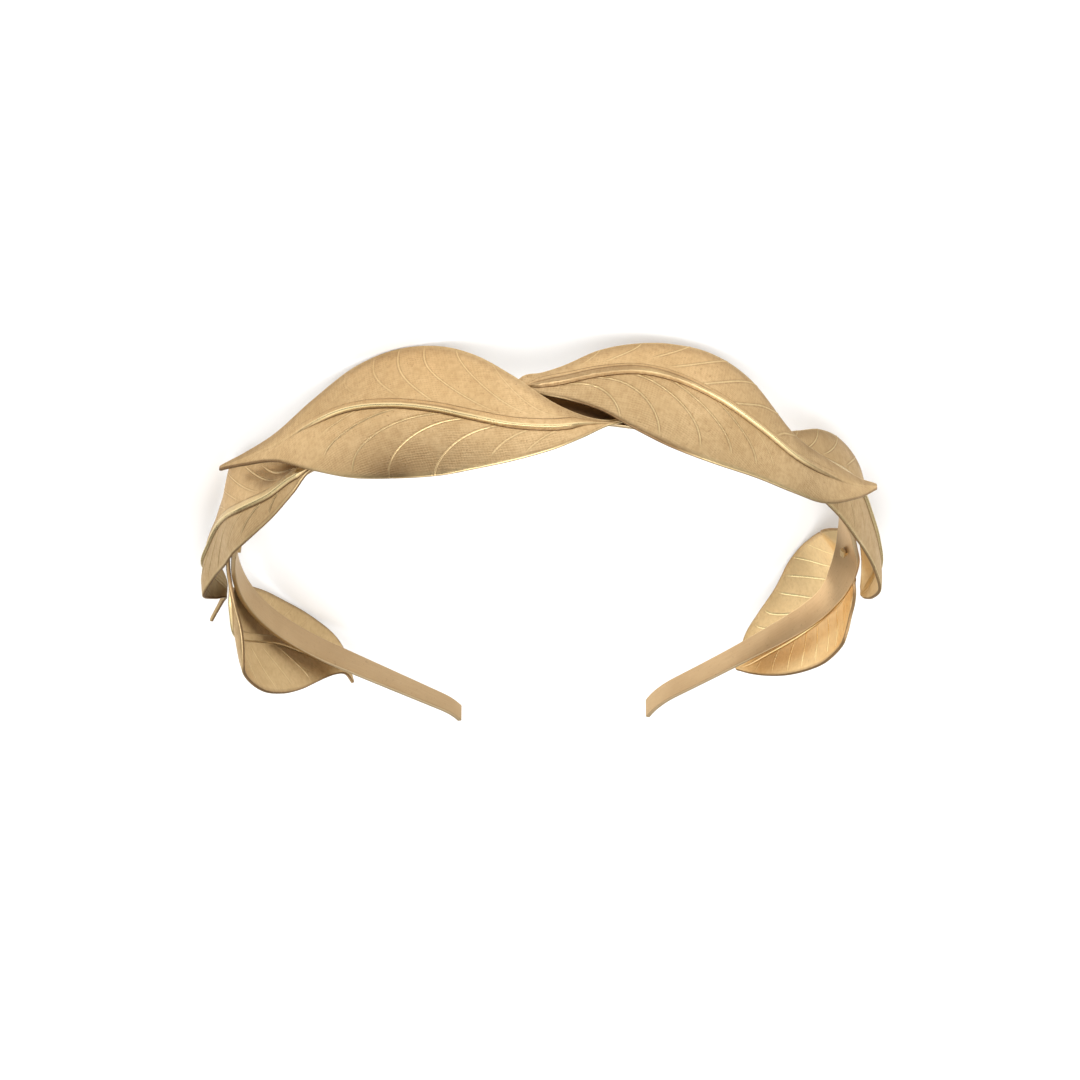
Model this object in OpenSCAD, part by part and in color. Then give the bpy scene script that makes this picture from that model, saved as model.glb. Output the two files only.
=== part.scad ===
// Leaf headband: an open metal band with six stamped leaves, three along each side.
// It is drawn as it is worn, with the forehead at -Y, the wearer's left at +X and the crown of
// the head at +Z, and then laid down as it rests on a table, with the edge that faces the crown
// on the table and the wearer's right at +X.

/* [Band] */
// Radius of the front arc, to the middle of the strip
front_radius = 72.6; // [68:0.2:78]
// Sweep of the front arc on each side of the forehead, in degrees
front_sweep = 95; // [85:1:105]
// Length of the straight arm on the wearer's left
left_arm = 37; // [25:0.5:50]
// Length of the straight arm on the wearer's right
right_arm = 38.5; // [25:0.5:50]
// Radius of the outward flare at the left end
left_flare_radius = 36; // [20:1:60]
// Sweep of the left flare, in degrees
left_flare_sweep = 23; // [5:1:40]
// Radius of the outward flare at the right end
right_flare_radius = 22; // [20:1:60]
// Sweep of the right flare, in degrees
right_flare_sweep = 22; // [5:1:40]
// Thickness of the strip
band_thickness = 1.1; // [0.9:0.1:1.6]
// Bevel along the strip's four long edges
band_bevel = 0.25; // [0.1:0.05:0.4]
// How much higher the strip sits over the forehead than at the sides
forehead_lift = 0.6; // [0:0.1:3]

/* [Leaves] */
// Thickness of the leaf sheet
sheet = 0.8; // [0.6:0.05:1]
// Height of the rib stamped along the middle of each leaf
rib_height = 0.7; // [0.2:0.1:1]
// Half width of that rib
rib_half = 1.1; // [0.7:0.1:1.6]
// How far each half of a blade bellies outward, as a part of its width
belly = 0.04; // [0:0.01:0.08]

/* [Tabs] */
// Half height of the tab that ends each stem and is clinched through the band
tab_half = 0.6; // [0.4:0.1:0.9]
// Length of the tab folded down on the inside of the band
tab_length = 2.4; // [1.5:0.1:4]
// Clearance between a stem or a tab and the band
clearance = 0.25; // [0.2:0.05:0.4]

/* [Rest] */
// Turn about X that brings three of the leaves down to the table, in degrees
rest_tilt_x = 3.4; // [-8:0.1:8]
// Turn about Y that does the same, in degrees
rest_tilt_y = 2.7; // [-8:0.1:8]

/* [Resolution] */
// Sections drawn from one row of a leaf's table to the next
leaf_steps = 2; // [1:1:3]
// Sections along each half of the band
band_sections = 34; // [20:1:60]

/* [Hidden] */

LEFT = 1;
RIGHT = -1;
front_y = -60;
lift_reach = 110;
strip_colour = [0.80, 0.65, 0.45];
leaf_colour = [0.84, 0.69, 0.46];

// The bends that turn each side towards the back of the head.
// Columns: radius, sweep in degrees.
BENDS_LEFT = [[39, 20], [90, 13]];
BENDS_RIGHT = [[64, 27], [78, 13.4]];

// The plan of each side, walked from the forehead to the end.
// Columns: length, turn in degrees towards the back of the head.
function arc_row(radius, sweep) = [radius * abs(sweep) * PI / 180, sweep];
function plan_rows(side) = [
    arc_row(front_radius, front_sweep),
    for (bend = side == LEFT ? BENDS_LEFT : BENDS_RIGHT) arc_row(bend[0], bend[1]),
    [side == LEFT ? left_arm : right_arm, 0],
    side == LEFT ? arc_row(left_flare_radius, -left_flare_sweep)
                 : arc_row(right_flare_radius, -right_flare_sweep)
];

// The strip's sections on each side.
// Columns: distance from the forehead, half width, bank in degrees with the upper edge inward,
// inset of the strip's middle from the plan.
BAND_LEFT = [
    [  0,  3.6,   0,     0],
    [ 50,  3.6,   0,     0],
    [ 60,  3.6,   0,     0],
    [ 74,  3.4,  12,  -0.5],
    [ 84,  3.4,  20,  -0.6],
    [ 92,  3.4,  24,  -0.3],
    [ 96,  3.5,  27,   0.2],
    [100, 3.55,  33,   0.6],
    [106,  3.5,  44,  0.85],
    [112, 3.45,  50,  1.25],
    [120, 3.35,  47,   1.6],
    [128, 3.15,  28,   1.5],
    [136,  3.0,  22,   1.0],
    [150, 2.85,  20,   0.8],
    [165, 2.65,   8,   0.3],
    [180,  2.6,   2,     0],
    [206,  2.5,   0,     0]
];
BAND_RIGHT = [
    [  0,  3.6,   0,     0],
    [ 60,  3.6,   0,     0],
    [120,  3.6,   0,     0],
    [140,  3.2,   0,     0],
    [165,  3.0,   0,     0],
    [216,  2.2,   0,     0]
];

// The leaves' sections, from the stem to the tip.
// Columns: distance from the forehead along the band, negative where a stem crosses to the other
// side, distance outside the band's plan, height above its middle, width of the upper half and
// of the lower half, and the lean of each half in degrees, outward positive.
FRONT_LEAF_RIGHT = [
    [-18.0,   1.2,  -0.6,   0.6,   0.6,   0,   0],
    [-16.0,   1.3,  -2.4,   0.6,   0.6,   0,   0],
    [-12.0,   2.0,  -4.2,   0.6,   0.8,   0,   0],
    [ -6.0,   3.7,  -5.8,   2.0,   3.8,   0,   0],
    [  0.0,   4.4,  -7.0,   6.2,   5.8,  -5,  -5],
    [  8.0,   4.6,  -6.4,  12.9,   8.7,  -8,  -8],
    [ 16.0,   4.6,  -3.8,  16.9,  12.2, -10, -10],
    [ 24.0,   4.6,  -0.6,  17.4,  15.6, -10, -10],
    [ 34.0,   4.8,   2.6,  15.4,  17.5, -10,  -8],
    [ 44.0,   5.0,   4.5,  11.6,  16.7, -10,  -6],
    [ 54.0,   5.4,   4.2,   7.1,  11.4, -10,  -4],
    [ 64.0,   6.0,   3.4,   3.2,   4.6,  -8,  -4],
    [ 74.0,   7.0,   4.4,   1.6,   1.9,  -8,  -4],
    [ 84.0,   8.4,   6.8,   0.6,   0.6,  -8,  -4]
];
FRONT_LEAF_LEFT = [
    [ -8.5,   1.2,   2.0,   0.6,   0.6,   0,   0],
    [ -7.2,   1.4,   3.8,   2.0,   0.7,   0,   0],
    [ -5.5,   1.6,   4.4,   2.8,   0.8,   0,   0],
    [ -2.0,   2.2,   4.8,   2.6,   2.9,   0,   0],
    [  3.0,   2.8,   5.6,   3.7,   5.0,  -5,  -3],
    [ 10.0,   3.4,   7.5,   5.9,   9.2,  -8,  -3],
    [ 18.0,   4.0,   8.9,   7.3,  14.7, -10,  -4],
    [ 26.0,   4.4,   8.4,   9.4,  16.9, -10,  -6],
    [ 36.0,   4.8,   5.7,  12.4,  15.9, -10,  -6],
    [ 46.0,   5.0,   1.9,  13.0,  12.6, -10,  -4],
    [ 56.0,   5.6,  -1.8,   6.6,   9.0,  -8,  -4],
    [ 66.0,   6.2,  -1.6,   4.4,   7.5,  -8,  -4],
    [ 78.0,   7.4,   1.4,   2.1,   3.6,  -8,  -4],
    [ 87.0,   8.6,   5.8,   0.7,   0.9,  -8,  -4]
];
SIDE_LEAF_RIGHT = [
    [ 47.0,   1.2,  -0.8,   0.6,   0.6,   0,   0],
    [ 50.0,   1.3,  -2.4,   0.6,   0.6,   0,   0],
    [ 54.0,   1.7,  -3.8,   1.0,   0.8,   0,   0],
    [ 58.0,   2.1,  -4.4,   2.8,   1.2,   0,   0],
    [ 62.0,   2.4,  -4.6,   5.0,   4.2,  -4,   0],
    [ 70.0,   2.8,  -5.5,   9.4,   6.1,  -6,  -4],
    [ 80.0,   3.8,  -4.0,  12.8,   8.4,  -4,  -8],
    [ 90.0,   3.9,  -0.8,  12.4,  10.0,   0,  -8],
    [100.0,   4.0,   2.0,  10.0,  10.8,  -8,  -8],
    [110.0,   5.3,   2.8,   8.4,   9.7, -12,  -5],
    [119.0,   7.4,   2.4,   6.4,   8.9,  -8,   0],
    [126.0,   6.2,   2.4,   4.6,   5.7,   0,   0],
    [130.0,   5.0,   1.6,   1.8,   2.6,   0,   0],
    [133.0,   7.0,   0.2,   0.8,   0.8,   0,   0],
    [137.0,  11.4,  -2.2,   0.4,   0.4,   0,   0]
];
SIDE_LEAF_LEFT = [
    [ 45.0,   1.2,  -0.2,   0.6,   0.6,   0,   0],
    [ 48.0,   1.3,   0.4,   0.6,   0.6,   0,   0],
    [ 54.0,   1.9,   1.6,   3.0,   3.0,   0,   0],
    [ 62.0,   2.6,   2.8,   6.1,   7.0,  -4,   0],
    [ 70.0,   3.3,   4.0,   9.0,   9.4,  -6,  -4],
    [ 80.0,   4.0,   5.9,   9.8,  11.3,  -8,  -8],
    [ 90.0,   4.2,   7.4,   6.7,  12.3,  -2,  -8],
    [100.0,   4.6,   7.0,   5.4,  10.2,  -8,  -8],
    [110.0,   6.1,   5.6,   6.8,   8.3, -20,  -5],
    [118.0,   7.6,   4.2,   7.8,   7.4, -32,   0],
    [125.0,   7.8,   3.0,   5.6,   4.4, -22,   0],
    [129.0,   7.7,   2.6,   3.8,   1.8,  -6,   0],
    [130.0,   7.6,   2.6,   2.2,   0.6,   0,   0]
];
BACK_LEAF_RIGHT = [
    [107.6,   1.2,  -1.0,   0.6,   0.6,   0,   0],
    [114.0,   1.2,  -2.4,   0.6,   0.6,   0,   0],
    [118.0,   0.9,  -4.9,   0.8,   2.2,   0, -16],
    [122.0,   0.9,  -8.2,   4.2,   5.2,   4, -24],
    [128.0,   1.4, -10.6,  12.0,   9.4,   0, -14],
    [134.5,   2.2,  -9.2,  13.6,  11.0,  -4,  -8],
    [144.5,   2.8,  -5.1,  12.9,  14.5,  -6,  -8],
    [153.5,   3.2,  -1.6,  11.0,  14.8,  -6,  -8],
    [162.0,   3.6,  -0.2,  10.2,  11.2,  -5,  -5],
    [170.0,   4.0,   0.3,   9.2,   5.6,   0,   0],
    [175.0,   4.4,   0.4,   7.3,   2.4,   0,   0],
    [178.5,   4.8,   0.5,   4.0,   1.2,   0,   0],
    [181.8,   5.8,  -1.2,   0.4,   0.4,   0,   0]
];
BACK_LEAF_LEFT = [
    [ 99.8,   0.4,   0.6,   0.5,   0.5, -27,  27],
    [101.0,   0.3,   0.7,   2.2,   0.6, -30,  30],
    [102.5,   0.3,   0.7,   4.6,   0.6, -34,  34],
    [104.0,   0.2,   0.8,   6.0,   0.7, -38,  38],
    [105.5,   0.1,   0.8,   7.4,   0.7, -41,  41],
    [108.0,  -0.1,   0.9,   9.0,   0.7, -44,  44],
    [110.0,  -0.2,   0.9,   9.8,   0.8, -43,  43],
    [112.5,  -0.1,   1.0,  10.4,   0.9, -38,  42],
    [116.0,   0.3,   1.0,  11.4,   1.6, -32,  36],
    [118.5,   0.8,   1.0,  12.5,   1.8, -30,  24],
    [120.0,   1.2,   1.0,  13.4,   3.6, -29,  12],
    [122.0,   1.7,   1.0,  14.4,   8.6, -28,  -2],
    [124.0,   1.9,   1.0,  15.2,  12.0, -28,  -5],
    [126.0,   2.1,   1.0,  15.8,  13.8, -28,  -6],
    [130.0,   2.8,   1.0,  16.8,  13.8, -28,  -6],
    [138.0,   3.6,   1.0,  17.7,  13.8, -25,  -6],
    [146.0,   4.2,   0.8,  16.7,  12.0, -23,  -4],
    [154.5,   4.6,   0.4,  13.6,   9.5, -18,  -4],
    [163.0,   4.8,   0.2,  10.3,   6.1, -14,   0],
    [169.0,   4.9,   0.0,   7.0,   3.1, -12,   0],
    [174.0,   5.0,   0.2,   0.4,   0.4, -10,   0]
];

// The tabs: the distance from the forehead and the height of the slot that each passes through.
FRONT_TAB_RIGHT = [-19.5, -0.6];
FRONT_TAB_LEFT = [-10.0, 2.0];
SIDE_TAB_RIGHT = [45.5, -0.8];
SIDE_TAB_LEFT = [43.5, -0.2];
BACK_TAB_RIGHT = [106.1, -1.0];
BACK_TAB_LEFT = [106.0, 0.4];

// Half widths of a blade under this one have a lower rib, as at the stem and the tip.
RIB_FULL_WIDTH = 3;

// Where the points of a section lie across each half of a blade, from the rib to the edge.
HALF_STEPS = [0.3, 0.55, 0.8, 1];

// The plan: point and heading after walking a distance along its rows.
function walk(rows, left, x = 0, y = front_y, heading = 0, i = 0) =
    let (
        last = i == len(rows) - 1,
        step = last ? left : min(left, rows[i][0]),
        turned = heading + rows[i][1] * step / rows[i][0],
        radius = rows[i][1] == 0 ? 0 : rows[i][0] / (rows[i][1] * PI / 180),
        nx = radius == 0 ? x + step * cos(heading) : x + radius * (sin(turned) - sin(heading)),
        ny = radius == 0 ? y + step * sin(heading) : y - radius * (cos(turned) - cos(heading))
    )
    last || left <= rows[i][0] ? [nx, ny, turned] : walk(rows, left - rows[i][0], nx, ny, turned, i + 1);

function total(rows, i = 0) = i == len(rows) ? 0 : rows[i][0] + total(rows, i + 1);
function half_length(side) = total(plan_rows(side));

// A row of a table between two of its own, on a smooth curve through them.
function segment(rows, s, i = 0) = i >= len(rows) - 2 || s < rows[i + 1][0] ? i : segment(rows, s, i + 1);
function row_at(rows, s) =
    let (
        i = segment(rows, s),
        a = rows[i],
        b = rows[i + 1],
        before = i > 0 ? rows[i - 1] : 2 * a - b,
        after = i + 2 < len(rows) ? rows[i + 2] : 2 * b - a,
        length = b[0] - a[0],
        w = (s - a[0]) / length,
        slope_a = (b - before) * length / (b[0] - before[0]),
        slope_b = (after - a) * length / (after[0] - a[0]),
        w2 = w * w,
        w3 = w2 * w
    )
    (2 * w3 - 3 * w2 + 1) * a + (w3 - 2 * w2 + w) * slope_a + (3 * w2 - 2 * w3) * b + (w3 - w2) * slope_b;

function band_row(side, s) = row_at(side == LEFT ? BAND_LEFT : BAND_RIGHT, abs(s));
function lift_at(s) = forehead_lift * (1 + cos(180 * min(abs(s) / lift_reach, 1))) / 2;

// The axes of a section: a point of the plan, the way along it, the way outward and the way up.
function section_axes(side, s) =
    let (p = walk(plan_rows(side), s))
    [
        [side * p[0], p[1], lift_at(s)],
        [side * cos(p[2]), sin(p[2]), 0],
        [side * sin(p[2]), -cos(p[2]), 0],
        [0, 0, 1]
    ];

// The same axes in the strip itself, inset and banked.
function strip_axes(side, s) =
    let (
        axes = section_axes(side, s),
        row = band_row(side, s),
        bank = row[2],
        outward = cos(bank) * axes[2] + sin(bank) * axes[3],
        upward = cos(bank) * axes[3] - sin(bank) * axes[2]
    )
    [axes[0] - row[3] * axes[2], axes[1], outward, upward];

// The bevelled outline of the strip at one section.
function strip_ring(side, s) =
    let (
        axes = strip_axes(side, s),
        t = band_thickness / 2,
        h = band_row(side, s)[1],
        c = band_bevel,
        corners = [
            [t, h - c], [t - c, h], [c - t, h], [-t, h - c],
            [-t, c - h], [c - t, -h], [t - c, -h], [t, c - h]
        ]
    )
    [for (corner = corners) axes[0] + corner[0] * axes[2] + corner[1] * axes[3]];

// Halves of a blade: its profile across, outward and upward from the rib.
function bump(d) = d >= rib_half ? 0 : (1 + cos(180 * d / rib_half)) / 2;
function across_steps(row) =
    let (
        low = min(rib_half / row[4], HALF_STEPS[0] / 2),
        high = min(rib_half / row[3], HALF_STEPS[0] / 2)
    )
    concat(
        [for (k = [len(HALF_STEPS) - 1 : -1 : 0]) -HALF_STEPS[k]],
        [-low, 0, high],
        HALF_STEPS
    );
function profile_point(row, u) =
    let (
        upper = u >= 0,
        width = upper ? row[3] : row[4],
        lean = upper ? row[5] : row[6],
        way = upper ? 1 : -1,
        v = abs(u),
        ridge = rib_height * min(1, min(row[3], row[4]) / RIB_FULL_WIDTH) * bump(v * width),
        proud = belly * width * 4 * v * (1 - v) + ridge,
        mean = (row[5] - row[6]) / 2,
        tilt = v == 0 ? mean : way * lean
    )
    [
        sin(lean) * v * width + cos(tilt) * proud,
        way * cos(lean) * v * width - sin(tilt) * proud
    ];
function unit(v) = v / norm(v);
function ring_points(axes, row, profile, thick) =
    let (
        last = len(profile) - 1,
        normals = [
            for (k = [0 : last])
                let (run = unit(profile[min(k + 1, last)] - profile[max(k - 1, 0)]))
                [run[1], -run[0]]
        ],
        centre = axes[0] + row[1] * axes[2] + row[2] * axes[3]
    )
    [
        for (face = [1, -1])
            for (j = [0 : last])
                let (
                    k = face > 0 ? j : last - j,
                    p = profile[k] + face * thick / 2 * normals[k]
                )
                centre + p[0] * axes[2] + p[1] * axes[3]
    ];

// The sections of a blade: one at each row of its table and some between.
function places(rows) = [
    for (i = [0 : len(rows) - 2])
        for (k = [0 : leaf_steps - 1])
            rows[i][0] + (rows[i + 1][0] - rows[i][0]) * k / leaf_steps,
    rows[len(rows) - 1][0]
];
function blade_rings(side, rows) = [
    for (s = places(rows))
        let (
            row = row_at(rows, s),
            profile = [for (u = across_steps(row)) profile_point(row, u)]
        )
        ring_points(section_axes(side, s), row, profile, sheet)
];

// The tab: flat on the inside of the band, through its slot and out to the stem. The rear leaf on
// the left has no stem, and its tab is folded out of the blade itself.
function own_tab(rows, tab) = tab[0] > rows[0][0];
function tab_ring(side, s, height, out, flat, folded) =
    let (
        axes = strip_axes(side, s),
        centre = axes[0] + out * axes[2] + height * axes[3],
        face = flat * axes[2] - folded * axes[1],
        steps = across_steps([0, 0, 0, 1, 1]),
        last = len(steps) - 1
    )
    [
        for (way = [1, -1])
            for (j = [0 : last])
                let (u = steps[way > 0 ? j : last - j])
                centre + way * sheet / 2 * face + u * tab_half * axes[3]
    ];
function tab_rings(side, rows, tab) =
    let (out = band_thickness / 2 + clearance + sheet / 2)
    [
        tab_ring(side, tab[0] - tab_length, tab[1], -out, 1, 0),
        tab_ring(side, tab[0], tab[1], -out, 1, 1),
        tab_ring(side, tab[0], tab[1], out, own_tab(rows, tab) ? 0 : 1, 1)
    ];
function leaf_rings(side, rows, tab) = concat(tab_rings(side, rows, tab), blade_rings(side, rows));

// A closed skin over a row of rings, with flat ends.
// Each end is filled with triangles between the ring's two faces.
function end_cap(n, first) = [
    for (j = [0 : n / 2 - 2])
        each [
            [first + j, first + j + 1, first + n - 2 - j],
            [first + j, first + n - 2 - j, first + n - 1 - j]
        ]
];
function reversed(faces) = [for (face = faces) [face[2], face[1], face[0]]];
module skin(rings, side) {
    n = len(rings[0]);
    last = len(rings) - 1;
    points = [for (ring = rings) each ring];
    walls = [
        for (i = [0 : last - 1])
            for (j = [0 : n - 1])
                let (
                    a = i * n + j,
                    b = i * n + (j + 1) % n
                )
                each [[a, b, b + n], [a, b + n, a + n]]
    ];
    faces = concat(walls, reversed(end_cap(n, 0)), end_cap(n, last * n));
    polyhedron(points, side == LEFT ? faces : reversed(faces), convexity = 8);
}

// The resting place: crown side down, tilted onto the leaves, centred over the origin.
function rested(p) =
    let (
        q = [
            p[0],
            p[1] * cos(rest_tilt_x) - p[2] * sin(rest_tilt_x),
            p[1] * sin(rest_tilt_x) + p[2] * cos(rest_tilt_x)
        ],
        b = 180 + rest_tilt_y
    )
    [q[0] * cos(b) + q[2] * sin(b), q[1], q[2] * cos(b) - q[0] * sin(b)];
function all_rings() = concat(
    leaf_rings(LEFT, FRONT_LEAF_LEFT, FRONT_TAB_LEFT),
    leaf_rings(RIGHT, FRONT_LEAF_RIGHT, FRONT_TAB_RIGHT),
    leaf_rings(LEFT, SIDE_LEAF_LEFT, SIDE_TAB_LEFT),
    leaf_rings(RIGHT, SIDE_LEAF_RIGHT, SIDE_TAB_RIGHT),
    leaf_rings(LEFT, BACK_LEAF_LEFT, BACK_TAB_LEFT),
    leaf_rings(RIGHT, BACK_LEAF_RIGHT, BACK_TAB_RIGHT),
    [strip_ring(LEFT, half_length(LEFT)), strip_ring(RIGHT, half_length(RIGHT))]
);
function centring() =
    let (
        spots = [for (ring = all_rings()) for (p = ring) rested(p)],
        x = [for (p = spots) p[0]],
        y = [for (p = spots) p[1]],
        z = [for (p = spots) p[2]]
    )
    [-(min(x) + max(x)) / 2, -(min(y) + max(y)) / 2, -min(z)];

module as_it_rests() {
    translate(centring())
        rotate([rest_tilt_x, 180 + rest_tilt_y, 0])
            children();
}

module slot(side, tab) {
    axes = strip_axes(side, tab[0]);
    along = sheet + 2 * clearance;
    high = 2 * (tab_half + clearance);
    through = 3 * band_thickness;
    at = axes[0] + tab[1] * axes[3];
    multmatrix([
        [axes[1][0], axes[2][0], axes[3][0], at[0]],
        [axes[1][1], axes[2][1], axes[3][1], at[1]],
        [axes[1][2], axes[2][2], axes[3][2], at[2]],
        [0, 0, 0, 1]
    ])
        cube([along, through, high], center = true);
}

module strip() {
    left = [for (k = [0 : band_sections]) strip_ring(LEFT, half_length(LEFT) * k / band_sections)];
    right = [for (k = [band_sections : -1 : 1]) strip_ring(RIGHT, half_length(RIGHT) * k / band_sections)];
    skin(concat(right, left), LEFT);
}

module leaf(side, rows, tab) {
    color(leaf_colour)
        as_it_rests()
            if (own_tab(rows, tab))
                union() {
                    skin(tab_rings(side, rows, tab), side);
                    skin(blade_rings(side, rows), side);
                }
            else
                skin(leaf_rings(side, rows, tab), side);
}

module band() {
    color(strip_colour)
        as_it_rests()
            difference() {
                strip();
                slot(LEFT, FRONT_TAB_LEFT);
                slot(RIGHT, FRONT_TAB_RIGHT);
                slot(LEFT, SIDE_TAB_LEFT);
                slot(RIGHT, SIDE_TAB_RIGHT);
                slot(LEFT, BACK_TAB_LEFT);
                slot(RIGHT, BACK_TAB_RIGHT);
            }
}

module front_leaf_left() { leaf(LEFT, FRONT_LEAF_LEFT, FRONT_TAB_LEFT); }
module front_leaf_right() { leaf(RIGHT, FRONT_LEAF_RIGHT, FRONT_TAB_RIGHT); }
module side_leaf_left() { leaf(LEFT, SIDE_LEAF_LEFT, SIDE_TAB_LEFT); }
module side_leaf_right() { leaf(RIGHT, SIDE_LEAF_RIGHT, SIDE_TAB_RIGHT); }
module back_leaf_left() { leaf(LEFT, BACK_LEAF_LEFT, BACK_TAB_LEFT); }
module back_leaf_right() { leaf(RIGHT, BACK_LEAF_RIGHT, BACK_TAB_RIGHT); }

band();
front_leaf_left();
front_leaf_right();
side_leaf_left();
side_leaf_right();
back_leaf_left();
back_leaf_right();
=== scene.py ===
"""Leaf headband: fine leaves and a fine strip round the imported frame, in satin brass, in a pale studio."""
import math

import bpy
import numpy as np
from mathutils import Matrix, Vector


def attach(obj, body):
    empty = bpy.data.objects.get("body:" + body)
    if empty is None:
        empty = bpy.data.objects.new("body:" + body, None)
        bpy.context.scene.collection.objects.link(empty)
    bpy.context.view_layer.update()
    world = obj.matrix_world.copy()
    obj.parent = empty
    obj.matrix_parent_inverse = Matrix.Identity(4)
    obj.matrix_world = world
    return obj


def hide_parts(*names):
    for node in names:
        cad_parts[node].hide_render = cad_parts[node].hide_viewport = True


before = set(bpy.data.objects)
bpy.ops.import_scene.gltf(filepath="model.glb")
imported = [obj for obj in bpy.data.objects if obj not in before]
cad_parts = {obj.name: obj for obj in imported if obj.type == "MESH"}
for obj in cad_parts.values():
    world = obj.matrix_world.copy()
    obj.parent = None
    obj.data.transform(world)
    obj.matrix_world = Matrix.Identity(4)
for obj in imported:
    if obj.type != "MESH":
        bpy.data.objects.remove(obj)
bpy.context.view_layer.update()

MM = 0.001

# The band as part.scad draws it, in millimetres, worn: forehead at -Y, wearer's left at +X, crown at +Z.
LEFT, RIGHT = 1, -1
FRONT_Y = -60.0
FOREHEAD_LIFT = 0.6
LIFT_REACH = 110.0
BAND_HALF_THICKNESS = 0.55
BAND_CORNER = 0.25
SHEET = 0.8
RIB_HEIGHT = 0.7
RIB_HALF = 1.1
BELLY = 0.04
TAB_HALF = 0.6
TAB_LENGTH = 2.4
TAB_SHINE = 0.35
CLEARANCE = 0.25
REST_TILT_X = math.radians(3.4)
REST_TILT_Y = math.radians(2.7)
CENTRING = np.array([0.327, -15.277, 16.675])

# The plan of each side. Columns: radius, or 0 for straight, and sweep in degrees, or length.
PLAN = {
    LEFT: [(72.6, 95), (39, 20), (90, 13), (0, 37), (36, -23)],
    RIGHT: [(72.6, 95), (64, 27), (78, 13.4), (0, 38.5), (22, -22)],
}
# The strip. Columns: distance from the forehead, half width, bank in degrees, inset.
BAND = {
    LEFT: [
        [0, 3.6, 0, 0], [50, 3.6, 0, 0], [60, 3.6, 0, 0], [74, 3.4, 12, -0.5],
        [84, 3.4, 20, -0.6], [92, 3.4, 24, -0.3], [96, 3.5, 27, 0.2], [100, 3.55, 33, 0.6],
        [106, 3.5, 44, 0.85], [112, 3.45, 50, 1.25],
        [120, 3.35, 47, 1.6], [128, 3.15, 28, 1.5], [136, 3.0, 22, 1.0], [150, 2.85, 20, 0.8],
        [165, 2.65, 8, 0.3], [180, 2.6, 2, 0], [206, 2.5, 0, 0],
    ],
    RIGHT: [
        [0, 3.6, 0, 0], [60, 3.6, 0, 0], [120, 3.6, 0, 0], [140, 3.2, 0, 0], [165, 3.0, 0, 0],
        [216, 2.2, 0, 0],
    ],
}
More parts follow.
